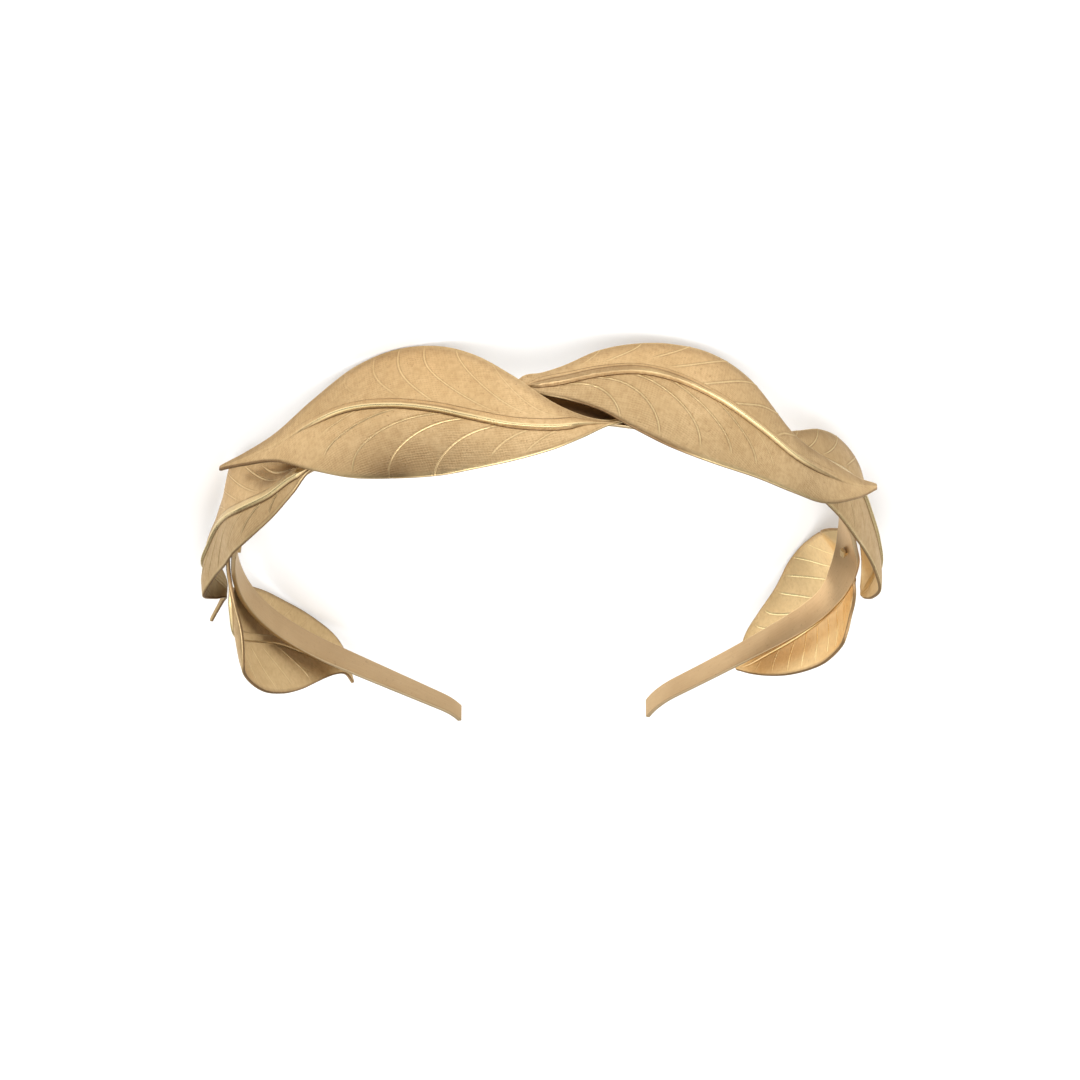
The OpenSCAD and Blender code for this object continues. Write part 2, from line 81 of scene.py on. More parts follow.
# The leaves. Rows: distance from the forehead, distance outside the band, height, width of the upper
# and of the lower half, lean of each half in degrees. Tab: distance and height.
# Veins: where each leaves the rib, where it would reach the margin, its bend, the parts of the half's
# width where it begins and ends, its strength.
LEAVES = {
    "front_leaf_right": {
        "side": RIGHT,
        "tab": (-19.5, -0.6),
        "rows": [
            [-18, 1.2, -0.6, 0.6, 0.6, 0, 0], [-16, 1.3, -2.4, 0.6, 0.6, 0, 0],
            [-12, 2, -4.2, 0.6, 0.8, 0, 0], [-6, 3.7, -5.8, 2, 3.8, 0, 0],
            [0, 4.4, -7, 6.2, 5.8, -5, -5], [8, 4.6, -6.4, 12.9, 8.7, -8, -8],
            [16, 4.6, -3.8, 16.9, 12.2, -10, -10], [24, 4.6, -0.6, 17.4, 15.6, -10, -10],
            [34, 4.8, 2.6, 15.4, 17.5, -10, -8], [44, 5, 4.5, 11.6, 16.7, -10, -6],
            [54, 5.4, 4.2, 7.1, 11.4, -10, -4], [64, 6, 3.4, 3.2, 4.6, -8, -4],
            [74, 7, 4.4, 1.6, 1.9, -8, -4], [84, 8.4, 6.8, 0.6, 0.6, -8, -4],
        ],
        "rib_fades": (46, 60),
        "upper_shine": 0,
        "upper": [
            (-13, 12.7, 1.2, 0.4, 0.97, 0.4), (-7.5, 20.5, 1.8, 0.3, 0.96, 0.6),
            (3.5, 27.5, 3, 0.18, 0.9, 0.65), (21.9, 33.3, 3, 0.13, 0.94, 0.65),
            (29.2, 39, 3, 0.19, 0.89, 0.5), (37, 46, 3, 0.3, 0.7, 0.2),
        ],
        "lower": [
            (-4.2, 5.9, 1.2, 0.26, 0.8, 0.5), (1.6, 13.1, 1.5, 0.2, 0.76, 0.7),
            (7.5, 24.8, 1.5, 0.1, 0.97, 1), (13.9, 35, 2, 0.1, 0.94, 1.3),
            (18.5, 43.4, 2.5, 0.1, 0.86, 1.1), (28.1, 50.5, 3, 0.1, 0.64, 0.9),
            (38.6, 56.2, 3, 0.04, 0.28, 0.5),
        ],
    },
    "front_leaf_left": {
        "side": LEFT,
        "tab": (-10, 2),
        "rows": [
            [-8.5, 1.2, 2, 0.6, 0.6, 0, 0], [-7.2, 1.4, 3.8, 2, 0.7, 0, 0],
            [-5.5, 1.6, 4.4, 2.8, 0.8, 0, 0], [-2, 2.2, 4.8, 2.6, 2.9, 0, 0],
            [3, 2.8, 5.6, 3.7, 5, -5, -3], [10, 3.4, 7.5, 5.9, 9.2, -8, -3],
            [18, 4, 8.9, 7.3, 14.7, -10, -4], [26, 4.4, 8.4, 9.4, 16.9, -10, -6],
            [36, 4.8, 5.7, 12.4, 15.9, -10, -6], [46, 5, 1.9, 13, 12.6, -10, -4],
            [56, 5.6, -1.8, 6.6, 9, -8, -4], [66, 6.2, -1.6, 4.4, 7.5, -8, -4],
            [78, 7.4, 1.4, 2.1, 3.6, -8, -4], [87, 8.6, 5.8, 0.7, 0.9, -8, -4],
        ],
        "rib_fades": (58, 74),
        "upper_shine": 0.1,
        "upper": [
            (-6, 10.4, 1.5, 0.6, 0.96, 0.5), (2.3, 19.4, 1.5, 0.45, 0.91, 0.8),
            (14.3, 30.5, 1, 0.5, 1, 0.8), (20.6, 39.7, 1, 0.31, 1, 0.8),
            (30.6, 47.5, 1, 0.11, 1, 0.8), (38, 52.3, 1.5, 0.07, 1, 0.8),
            (49.7, 57.5, 1, 0.2, 0.86, 0.6),
        ],
        "lower": [
            (-6.5, 14.3, 2, 0.15, 0.89, 0.9), (2.3, 22.8, 2.5, 0, 0.85, 1),
            (12.4, 32, 3, 0.03, 0.79, 1), (21.8, 39.2, 3, 0.01, 0.71, 1),
            (32.9, 45.2, 3, 0.1, 0.72, 0.9), (42, 49.8, 3, 0.19, 0.61, 0.4),
        ],
    },
    "side_leaf_right": {
        "side": RIGHT,
        "tab": (45.5, -0.8),
        "rows": [
            [47, 1.2, -0.8, 0.6, 0.6, 0, 0], [50, 1.3, -2.4, 0.6, 0.6, 0, 0],
            [54, 1.7, -3.8, 1, 0.8, 0, 0], [58, 2.1, -4.4, 2.8, 1.2, 0, 0],
            [62, 2.4, -4.6, 5, 4.2, -4, 0], [70, 2.8, -5.5, 9.4, 6.1, -6, -4],
            [80, 3.8, -4, 12.8, 8.4, -4, -8], [90, 3.9, -0.8, 12.4, 10, 0, -8],
            [100, 4, 2, 10, 10.8, -8, -8], [110, 5.3, 2.8, 8.4, 9.7, -12, -5],
            [119, 7.4, 2.4, 6.4, 8.9, -8, 0], [126, 6.2, 2.4, 4.6, 5.7, 0, 0],
            [130, 5, 1.6, 1.8, 2.6, 0, 0], [133, 7, 0.2, 0.8, 0.8, 0, 0],
            [137, 11.4, -2.2, 0.4, 0.4, 0, 0],
        ],
        "rib_fades": (118, 132),
        "upper_shine": 0.5,
        "upper": [
            (52, 78, 1, 0.3, 0.7, 1), (60, 85, 1, 0.3, 0.75, 1),
            (69, 92, 1.3, 0.25, 0.8, 0.7), (78, 99, 1.5, 0.2, 0.8, 0.5),
            (87, 106, 2, 0.2, 0.8, 0.5), (97, 113, 2, 0.2, 0.8, 0.4),
        ],
        "lower": [
            (63.9, 70.5, 1.5, 0.16, 0.75, 1), (69.4, 85.7, 1, 0.12, 0.7, 1),
            (77, 95, 1.2, 0.2, 0.8, 0.6), (84, 104, 1.5, 0.3, 0.88, 1),
            (94, 114, 1.5, 0.2, 0.8, 0.8), (105, 124, 1.5, 0.2, 0.85, 1),
        ],
    },
    "side_leaf_left": {
        "side": LEFT,
        "tab": (43.5, -0.2),
        "rows": [
            [45, 1.2, -0.2, 0.6, 0.6, 0, 0], [48, 1.3, 0.4, 0.6, 0.6, 0, 0],
            [54, 1.9, 1.6, 3, 3, 0, 0], [62, 2.6, 2.8, 6.1, 7, -4, 0],
            [70, 3.3, 4, 9, 9.4, -6, -4], [80, 4, 5.9, 9.8, 11.3, -8, -8],
            [90, 4.2, 7.4, 6.7, 12.3, -2, -8], [100, 4.6, 7, 5.4, 10.2, -8, -8],
            [110, 6.1, 5.6, 6.8, 8.3, -20, -5], [118, 7.6, 4.2, 7.8, 7.4, -32, 0],
            [125, 7.8, 3, 5.6, 4.4, -22, 0], [129, 7.7, 2.6, 3.8, 1.8, -6, 0],
            [130, 7.6, 2.6, 2.2, 0.6, 0, 0],
        ],
        "rib_fades": (122, 130),
        "upper_shine": 0.9,
        "upper": [
            (52, 61, 1.5, 0.3, 0.9, 0.6), (60.3, 68.8, 1.5, 0.3, 0.98, 1),
            (65.5, 78.1, 1.5, 0.3, 1, 1), (76.3, 87, 1.5, 0.3, 1, 0.9),
            (86, 97, 1.5, 0.2, 0.9, 0.6), (96, 107, 1.5, 0.2, 0.9, 0.5),
        ],
        "lower": [
            (54, 66, 1.5, 0.2, 0.9, 0.5), (62, 77, 1.5, 0.2, 0.9, 0.5),
            (70, 88, 1.5, 0.2, 0.9, 0.5), (79, 99, 1.5, 0.3, 0.7, 0.5),
            (90, 108, 1.5, 0.3, 0.7, 0.35), (101, 116, 1.5, 0.3, 0.7, 0.3),
        ],
    },
    "back_leaf_right": {
        "side": RIGHT,
        "tab": (106.1, -1),
        "rows": [
            [107.6, 1.2, -1, 0.6, 0.6, 0, 0], [114, 1.2, -2.4, 0.6, 0.6, 0, 0],
            [118, 0.9, -4.9, 0.8, 2.2, 0, -16], [122, 0.9, -8.2, 4.2, 5.2, 4, -24],
            [128, 1.4, -10.6, 12, 9.4, 0, -14], [134.5, 2.2, -9.2, 13.6, 11, -4, -8],
            [144.5, 2.8, -5.1, 12.9, 14.5, -6, -8], [153.5, 3.2, -1.6, 11, 14.8, -6, -8],
            [162, 3.6, -0.2, 10.2, 11.2, -5, -5], [170, 4, 0.3, 9.2, 5.6, 0, 0],
            [175, 4.4, 0.4, 7.3, 2.4, 0, 0], [178.5, 4.8, 0.5, 4, 1.2, 0, 0],
            [181.8, 5.8, -1.2, 0.4, 0.4, 0, 0],
        ],
        "rib_fades": (160, 178),
        "upper_shine": 0,
        "upper": [
            (122, 132, 1.5, 0.2, 0.9, 0.6), (129, 141, 1.5, 0.2, 0.9, 0.7),
            (137, 149, 1.5, 0.2, 0.9, 0.7), (145, 157, 1.5, 0.2, 0.9, 0.6),
            (153, 164, 1.5, 0.2, 0.9, 0.5), (161, 171, 1.5, 0.2, 0.8, 0.4),
        ],
        "lower": [
            (124, 132, 1.2, 0.2, 0.8, 0.6), (131, 142.5, 1.2, 0.2, 0.97, 1),
            (136.8, 151.2, 1.2, 0.2, 0.87, 1), (142.5, 158.6, 1.5, 0.19, 0.8, 1),
            (147.5, 165, 2.8, 0.13, 0.72, 0.9), (158, 171, 2.5, 0.1, 0.6, 0.4),
        ],
    },
    "back_leaf_left": {
        "side": LEFT,
        "tab": (106, 0.4),
        "rows": [
            [99.8, 0.4, 0.6, 0.5, 0.5, -27, 27], [101, 0.3, 0.7, 2.2, 0.6, -30, 30],
            [102.5, 0.3, 0.7, 4.6, 0.6, -34, 34], [104, 0.2, 0.8, 6, 0.7, -38, 38],
            [105.5, 0.1, 0.8, 7.4, 0.7, -41, 41], [108, -0.1, 0.9, 9, 0.7, -44, 44],
            [110, -0.2, 0.9, 9.8, 0.8, -43, 43], [112.5, -0.1, 1, 10.4, 0.9, -38, 42],
            [116, 0.3, 1, 11.4, 1.6, -32, 36], [118.5, 0.8, 1, 12.5, 1.8, -30, 24],
            [120, 1.2, 1, 13.4, 3.6, -29, 12], [122, 1.7, 1, 14.4, 8.6, -28, -2],
            [124, 1.9, 1, 15.2, 12, -28, -5], [126, 2.1, 1, 15.8, 13.8, -28, -6],
            [130, 2.8, 1, 16.8, 13.8, -28, -6], [138, 3.6, 1, 17.7, 13.8, -25, -6],
            [146, 4.2, 0.8, 16.7, 12, -23, -4], [154.5, 4.6, 0.4, 13.6, 9.5, -18, -4],
            [163, 4.8, 0.2, 10.3, 6.1, -14, 0], [169, 4.9, 0, 7, 3.1, -12, 0],
            [174, 5, 0.2, 0.4, 0.4, -10, 0],
        ],
        "rib_fades": (158, 172),
        "upper_shine": 0,
        "upper": [
            (110.5, 135, 1, 0.6, 0.92, 0.8), (115, 143, 1.1, 0.5, 0.95, 1),
            (119, 149.5, 1.3, 0.4, 0.85, 1), (132.4, 154.1, 1.5, 0.35, 0.82, 1),
            (137, 160.1, 2, 0.3, 0.84, 1), (143, 164.4, 2.5, 0.3, 0.8, 0.8),
            (154, 169, 2.5, 0.2, 0.7, 0.4),
        ],
        "lower": [
            (126, 126.1, 2, 0.1, 0.85, 1), (130, 129.4, 2, 0.1, 0.85, 1),
            (134, 133, 2, 0.1, 0.85, 1), (138.3, 137.6, 2, 0.1, 0.85, 1.1),
            (142.9, 143.5, 2, 0.1, 0.85, 1.1), (147, 149.3, 2, 0.1, 0.85, 1.1),
            (150.8, 154.5, 3, 0.1, 0.85, 1), (156.5, 160.6, 3, 0.1, 0.8, 0.9),
            (163, 167, 2, 0.2, 0.7, 0.5),
        ],
    },
}

# Painted shade on some leaves: a dark spot near a lower margin, and a painted shadow under a neighbour's
# edge. Columns: distance, place across, their half extents, strength.
SHADE_SPOTS = {
    "front_leaf_right": [(34.0, -1.0, 8.0, 0.35, 0.72), (31.0, -0.95, 15.0, 0.6, 0.42)],
    "side_leaf_right": [(63.0, 0.4, 5.0, 0.4, 0.85), (70.0, 0.33, 5.0, 0.18, 0.7)],
}

# Painted light and shade along each leaf: how much brighter or darker its brass is painted, beside 1.
# Columns: distance, upper and lower half outside, upper and lower half inside.
LEAF_LIGHT_TONES = {
    "front_leaf_right": [
        (-10, 1.1, 1.13, 1, 1), (25, 1.2, 1.15, 1, 1), (48, 1.0, 1.12, 1, 1), (84, 0.93, 0.93, 1, 1)
    ],
    "front_leaf_left": [
        (0, 1.15, 1.0, 1, 1), (30, 1.17, 1.06, 1, 1), (50, 0.86, 0.95, 1, 1), (60, 0.74, 0.78, 1, 1),
        (87, 1.0, 1.02, 1, 1),
    ],
    "side_leaf_right": [
        (60, 1.0, 0.85, 1, 1), (90, 1.08, 0.78, 1, 1), (110, 0.95, 0.76, 0.5, 0.4), (137, 1, 0.8, 0.4, 0.4)
    ],
    "side_leaf_left": [(60, 0.8, 0.8, 1.5, 1.5), (130, 0.8, 0.8, 1.5, 1.5)],
    "back_leaf_right": [(107, 0.9, 0.9, 0.9, 0.9), (182, 0.9, 0.9, 0.9, 0.9)],
    "back_leaf_left": [(100, 0.9, 0.9, 1.5, 1.45), (174, 0.9, 0.9, 1.5, 1.45)],
}
# The same painted light and shade along the strip, from its right end to its left one. Columns: distance,
# tone.
STRIP_LIGHT_TONES = [
    (-216, 0.92), (-160, 0.85), (-100, 0.85), (-60, 1.0), (60, 1.0),
    (95, 1.25), (105, 1.7), (135, 1.9), (160, 1.25), (206, 1.15),
]
# How strong the relief of the outer face shows inside, and how polished the inner face is, with a painted
# sheen.
INNER_SHARES = {"back_leaf_left": 1.0, "back_leaf_right": 0.55}
INNER_SHINES = {"back_leaf_left": 0.35, "side_leaf_left": 0.4}
# The rib along a leaf. Columns: distance, how polished its lower flank is, with a painted sheen,
# strength and place of a painted dark line along it, painted shade of its lower flank.
RIB_LOOKS = {
    "front_leaf_right": [
        (-18, 0.9, 0.6, -0.8, 0), (8, 0.9, 0.85, -0.8, 0), (13, 0.9, 0.0, -0.8, 0), (14, 0.8, 0.0, 0.1, 0),
        (20, 0.75, 0.7, 0.1, 0), (32, 0.9, 0.4, 0.1, 0), (44, 1, 0, 0.1, 0), (84, 1, 0, 0, 0),
    ],
    "front_leaf_left": [
        (-8, 0.1, 0.9, 0.0, 0.4), (4, 0.1, 0.85, 0.3, 0.4), (16, 0.1, 0.85, 0.4, 0.4),
        (21, 0.35, 0.6, 0.3, 0.25), (26, 0.15, 0.85, 0.1, 0.35), (33, 0.4, 0.5, -0.1, 0.1),
        (38, 1, 0.1, -0.1, 0), (54, 1, 0, 0, 0),
        (62, 0.3, 0, 0, 0), (87, 0.2, 0, 0, 0),
    ],
}
RIB_LOOK = [(-20, 1, 0.3, 0.9, 0), (190, 1, 0.3, 0.9, 0)]
# The lower rim along a leaf. Columns: distance, how much painted shade, how polished with a painted sheen.
RIM_LOOKS = {
    "front_leaf_right": [(-18, 0, 0.8), (20, 0, 0.9), (50, 0, 0.6), (58, 0.7, 0.3), (84, 0.9, 0.2)],
    "front_leaf_left": [
        (2, 0.3, 0.5), (6, 0.85, 0.3), (26, 0.8, 0.5), (34, 0.1, 1), (60, 0.1, 1), (70, 0.6, 0.5),
        (87, 0.7, 0.3),
    ],
    "side_leaf_left": [(45, 0, 0.95), (130, 0, 0.95)],
}
RIM_LOOK = [(-20, 0, 0.5), (190, 0, 0.5)]

# The visual detail of a leaf.
COLUMN_STEP = 0.9
MOST_SPREAD = 14.0
VEIN_STEPS = [0.0, 0.07, 0.14, 0.22, 0.32, 0.46, 0.66, 0.95, 1.4, 2.1]
CLOSEST_COLUMNS = 0.05
BLADE_STEPS = 14
EDGE_RADIUS = 0.26
EDGE_STEPS = 4
VEIN_HEIGHT = 0.10
VEIN_HALF = 0.13
VEIN_GROOVE = 0.22
VEIN_SHADE = 2.0
RIB_FULL_WIDTH = 3.0
# How much polish with a painted sheen a vein's crest gets.
VEIN_POLISH_AND_SHEEN = 0.8
# The inner face shows the relief weaker and its veins softer.
INNER_RELIEF = 0.5
INNER_SHARE = 0.4
INNER_SHINE = 0.2
INNER_VEIN_HALF = 0.24
# Half width of the painted dark line along the rib.
RIB_LINE_HALF = 0.2
# The rims have a soft polish with a painted sheen, a thin line of painted shade and painted shade on their
# back, and the upper margin has a little painted shade.
MARGIN_WIDTH = 3.5
MARGIN_SHADE = 0.36
DARK_RIM_WIDTH = 0.5
RIM_WIDTH = 0.42
RIM_SHINE = 0.5
RIM_EDGE_SHADE = 0.6
RIM_LINE = 0.6
RIM_LINE_HALF = 0.12
RIM_LINE_SHADE = 0.35
RIM_BACK_SHADE = 0.8
# The strip: how polished its flat faces are, with a painted sheen, and where its map of the inner face
# begins beside the outer one.
BAND_STEP = 1.0
STRIP_SHINE = 0.25
INSIDE_SHIFT = 9.0
# Its outer face has painted shade where the front leaves cross in front of it.
CROSSING = 30.0
CROSSING_BLEND = 6.0
CROSSING_SHADE = 0.85
# Its inner face has painted shade along one edge where it twists.
TWIST = 104.0
TWIST_REACH = 9.0
TWIST_SHADE = 0.7
# The slots for the tabs: how far the cutters reach, in thicknesses, and the look of the walls, which are
# polished a little and get painted shade.
SLOT_REACH = 1.5
SLOT_WALL = {"polish_and_sheen": 0.25, "painted_shade": 0.5, "tone": 1.0}
# Where the tab's part of the leaf's map begins and ends, beside the blade's start.
TAB_FLAT = (-9.0, -1.5)
# Edges sharper than this many degrees stay sharp.
SHARP_FROM = 50
# The rib across, from its line, in rib half widths. The crest lies towards the lower side.
RIB_CREST = -0.38
RIB_LOWER_FOOT = -1.0
RIB_UPPER_FOOT = 1.15
RIB_STEP = 0.2
RIB_TRENCH = 0.2
RIB_ZONE = 1.5
RIB_SHARE = 0.6
LOWER_STEPS = [0.12, 0.24, 0.33, 0.39, 0.46, 0.56, 0.68, 0.8, 0.9, 0.97, 1.03, 1.1, 1.18, 1.3, 1.5]
UPPER_STEPS = [0.15, 0.35, 0.6, 0.85, 1.0, 1.08, 1.13, 1.17, 1.21, 1.27, 1.37, 1.5]


def plan(side, s):
    """The plan at distances s from the forehead: x, y and heading."""
    s = np.asarray(s, float)
    out = np.zeros(s.shape + (3,))
    x, y, heading, start = 0.0, FRONT_Y, 0.0, 0.0
    for index, (radius, sweep) in enumerate(PLAN[side]):
        length = radius * math.radians(abs(sweep)) if radius else sweep
        here = s >= start if index else s > -1e9
        step = s - start
        if radius:
            bend = math.copysign(radius, sweep)
            turned = heading + step / bend
            along = x + bend * (np.sin(turned) - math.sin(heading))
            back = y - bend * (np.cos(turned) - math.cos(heading))
            end = heading + length / bend
            x += bend * (math.sin(end) - math.sin(heading))
            y -= bend * (math.cos(end) - math.cos(heading))
            heading = end
        else:
            turned = np.full_like(step, heading)
            along = x + step * math.cos(heading)
            back = y + step * math.sin(heading)
            x += length * math.cos(heading)
            y += length * math.sin(heading)
        out[here] = np.stack([along, back, turned], -1)[here]
        start += length
    return out


def half_length(side):
    return sum(radius * math.radians(abs(sweep)) if radius else sweep for radius, sweep in PLAN[side])


def row_at(rows, s):
    """Rows of a table between its own, on a smooth curve through them."""
    rows = np.asarray(rows, float)
    s = np.asarray(s, float)
    last = len(rows) - 1
    i = np.clip(np.searchsorted(rows[:, 0], s, "right") - 1, 0, last - 1)
    a, b = rows[i], rows[i + 1]
    before = np.where((i > 0)[..., None], rows[np.maximum(i - 1, 0)], 2 * a - b)
    after = np.where((i + 2 <= last)[..., None], rows[np.minimum(i + 2, last)], 2 * b - a)
    length = (b - a)[..., :1]
    w = (s[..., None] - a[..., :1]) / length
    slope_a = (b - before) * length / (b - before)[..., :1]
    slope_b = (after - a) * length / (after - a)[..., :1]
    w2, w3 = w * w, w * w * w
    return (
        (2 * w3 - 3 * w2 + 1) * a + (w3 - 2 * w2 + w) * slope_a
        + (3 * w2 - 2 * w3) * b + (w3 - w2) * slope_b
    )


def lift_at(s):
    return FOREHEAD_LIFT * (1 + np.cos(np.pi * np.minimum(np.abs(s) / LIFT_REACH, 1))) / 2


def plan_axes(side, s):
    """Points of the plan, and the ways along it, outward and up."""
    p = plan(side, s)
    heading = p[..., 2]
    point = np.stack([side * p[..., 0], p[..., 1], lift_at(s)], -1)
    along = np.stack([side * np.cos(heading), np.sin(heading), np.zeros_like(heading)], -1)
    outward = np.stack([side * np.sin(heading), -np.cos(heading), np.zeros_like(heading)], -1)
    upward = np.zeros_like(outward)
    upward[..., 2] = 1.0
    return point, along, outward, upward


def strip_axes(side, s):
    """The same axes in the strip itself, inset and banked, and its half width."""
    point, along, outward, upward = plan_axes(side, s)
    row = row_at(BAND[side], np.abs(s))
    bank = np.radians(row[..., 2])[..., None]
    point = point - row[..., 3, None] * outward
    tilted_out = np.cos(bank) * outward + np.sin(bank) * upward
    tilted_up = np.cos(bank) * upward - np.sin(bank) * outward
    return point, along, tilted_out, tilted_up, row[..., 1]


def sheet_point(leaf, s, u):
    """The middle of a leaf's sheet, without rib and veins. u is -1 at the lower margin, 1 at the upper."""
    row = row_at(leaf["rows"], s)
    way = np.where(u >= 0, 1.0, -1.0)
    width = np.where(u >= 0, row[..., 3], row[..., 4])
    lean = np.radians(np.where(u >= 0, row[..., 5], row[..., 6]))
    v = np.abs(u)
    proud = BELLY * width * 4 * v * (1 - v)
    out = row[..., 1] + np.sin(lean) * v * width + np.cos(lean) * proud
    high = row[..., 2] + way * (np.cos(lean) * v * width - np.sin(lean) * proud)
    point, _, outward, upward = plan_axes(leaf["side"], s)
    return point + out[..., None] * outward + high[..., None] * upward


def unit(v):
    return v / np.linalg.norm(v, axis=-1, keepdims=True)


def sheet_normal(leaf, s, u, blend):
    """The way out of a leaf's sheet, evened out across the rib, where the two halves meet."""
    ds = 0.05
    du = 0.02 + blend * (1 - smooth((np.abs(u) / blend - 0.3) / 1.2))
    along = sheet_point(leaf, s + ds, u) - sheet_point(leaf, s - ds, u)
    across = sheet_point(leaf, s, u + du) - sheet_point(leaf, s, u - du)
    return leaf["side"] * unit(np.cross(along, across))


def smooth(x):
    x = np.clip(x, 0, 1)
    return x * x * (3 - 2 * x)


def rib_size(leaf, t):
    """Half width and height of the rib along a leaf, fading towards the tip."""
    rows = leaf["rows"]
    row = row_at(rows, t)
    share = (t - rows[0][0]) / (rows[-1][0] - rows[0][0])
    narrow = np.clip(np.minimum(row[..., 3], row[..., 4]) / RIB_FULL_WIDTH, 0.2, 1)
    fade_from, fade_to = leaf["rib_fades"]
    fade = 1 - 0.9 * smooth((t - fade_from) / (fade_to - fade_from))
    return RIB_HALF * (1.15 - 0.5 * share) * narrow, RIB_HEIGHT * narrow * fade


def widths(leaf, s):
    row = row_at(leaf["rows"], s)
    return {"upper": row[..., 3], "lower": row[..., 4]}


def rib_foot(leaf, half, s):
    """How far from the rib's line its zone ends."""
    rib_half, _ = rib_size(leaf, s)
    return np.minimum(RIB_ZONE * rib_half, RIB_SHARE * widths(leaf, s)[half])


def vein_feet(leaf, half):
    """The veins of one half, each from where it leaves the rib's zone."""
    veins = []
    for start, end, bend, first, last, strength in leaf[half]:
        foot = start
        for _ in range(40):
            share = rib_foot(leaf, half, np.array(foot)) / widths(leaf, np.array(foot))[half]
            foot = 0.5 * foot + 0.5 * (end - (end - start) * (1 - float(share)) ** bend)
        veins.append((foot, end, bend, first, last, strength))
    return veins


def slant(leaf, veins, t, q):
    """Where along the band a column that leaves the rib's zone at t has come to, q of the way out."""
    rows = leaf["rows"]
    table = np.array([vein[:3] for vein in veins])
    starts = np.concatenate([[rows[0][0]], table[:, 0], [rows[-1][0]]])
    shifts = np.concatenate([[0], table[:, 1] - table[:, 0], [0]])
    bends = np.concatenate([[table[0, 2]], table[:, 2], [table[-1, 2]]])
    return t + np.interp(t, starts, shifts) * (1 - (1 - q) ** np.interp(t, starts, bends))


def columns(leaf, veins):
    """Places along the rib for the mesh's columns: even ones, and close ones round each vein."""
    first, last = leaf["rows"][0][0], leaf["rows"][-1][0]
    wanted = [last]
    t = first
    while t < last:
        wanted.append(t)
        spread = [1.0]
        for half, sign in (("upper", 1.0), ("lower", -1.0)):
            ends = slant(leaf, veins[half], np.array([t, t + 0.1]), 1.0)
            a, b = sheet_point(leaf, ends, np.array([sign, sign]))
            spread.append(float(np.linalg.norm(b - a)) / 0.1)
        t += COLUMN_STEP / min(max(spread), MOST_SPREAD)
    for half in ("upper", "lower"):
        for vein in veins[half]:
            for step in VEIN_STEPS:
                wanted += [vein[0] - step, vein[0] + step]
    kept = [first]
    for t in sorted(wanted):
        if first < t <= last and t - kept[-1] >= CLOSEST_COLUMNS:
            kept.append(t)
    if kept[-1] != last:
        kept[-1] = last
    return np.array(kept)


def vein_relief(leaf, half, veins, t, q, v, width):
    """Height of the veins of one half, how much of a crest each place is, and the same softer."""
    height = np.zeros_like(v)
    ridge = np.zeros_like(v)
    soft = np.zeros_like(v)
    dt, dq = 0.02, 0.01
    run = (slant(leaf, veins, t + dt, q) - slant(leaf, veins, t - dt, q)) / (2 * dt)
    high = np.minimum(q + dq, 1)
    low = np.maximum(q - dq, 0)
    out = width * (1 - v) / np.maximum(1 - q, 0.02)
    climb = slant(leaf, veins, t, high) - slant(leaf, veins, t, low)
    rise = climb / ((high - low) * np.maximum(out, 0.3))
    for foot, _, _, first, last, strength in veins:
        fade = smooth((v - first + 0.1) / 0.14) * (1 - smooth((v - last + 0.03) / 0.12))
        away = np.abs((t - foot) * run) / np.sqrt(1 + rise * rise)
        crest = np.exp(-((away / VEIN_HALF) ** 2))
        groove = np.exp(-(((away - 2.1 * VEIN_HALF) / VEIN_HALF) ** 2))
        shape = crest - VEIN_GROOVE * groove
        height += VEIN_HEIGHT * strength * fade * shape
        ridge += min(strength, 1) * fade * shape
        soft += min(strength, 1) * fade * np.exp(-((away / INNER_VEIN_HALF) ** 2))
    return height, ridge, soft


def rib_profile(x, upper_shine):
    """The rib across: its height, how polished it is with a painted sheen, and its painted shade in the
    trench and along the upper border, at x half widths from its line.
    """
    upper = np.clip((x - RIB_CREST) / (RIB_UPPER_FOOT - RIB_CREST), 0, 1)
    lower = np.clip((RIB_CREST - x) / (RIB_CREST - RIB_LOWER_FOOT), 0, 1)
    step = 1 - smooth((x - RIB_UPPER_FOOT + 0.06) / 0.12)
    high = (RIB_STEP + (1 - RIB_STEP) * (1 - upper ** 1.7)) * step
    fall = np.cos(np.pi / 2 * lower ** 1.5)
    trench = np.exp(-(((x - RIB_LOWER_FOOT + 0.12) / 0.13) ** 2))
    border = np.exp(-(((x - RIB_UPPER_FOOT - 0.04) / 0.09) ** 2))
    height = np.where(x >= RIB_CREST, high, fall) - RIB_TRENCH * trench - 0.05 * border
    polish_and_sheen = smooth((-0.12 - x) / 0.28) * smooth((x - RIB_LOWER_FOOT) / 0.15)
    flank = smooth((x - RIB_CREST) / 0.2) * smooth((RIB_UPPER_FOOT - 0.1 - x) / 0.15)
    return height, np.maximum(polish_and_sheen, upper_shine * flank), np.clip(trench + 0.8 * border, 0, 1)


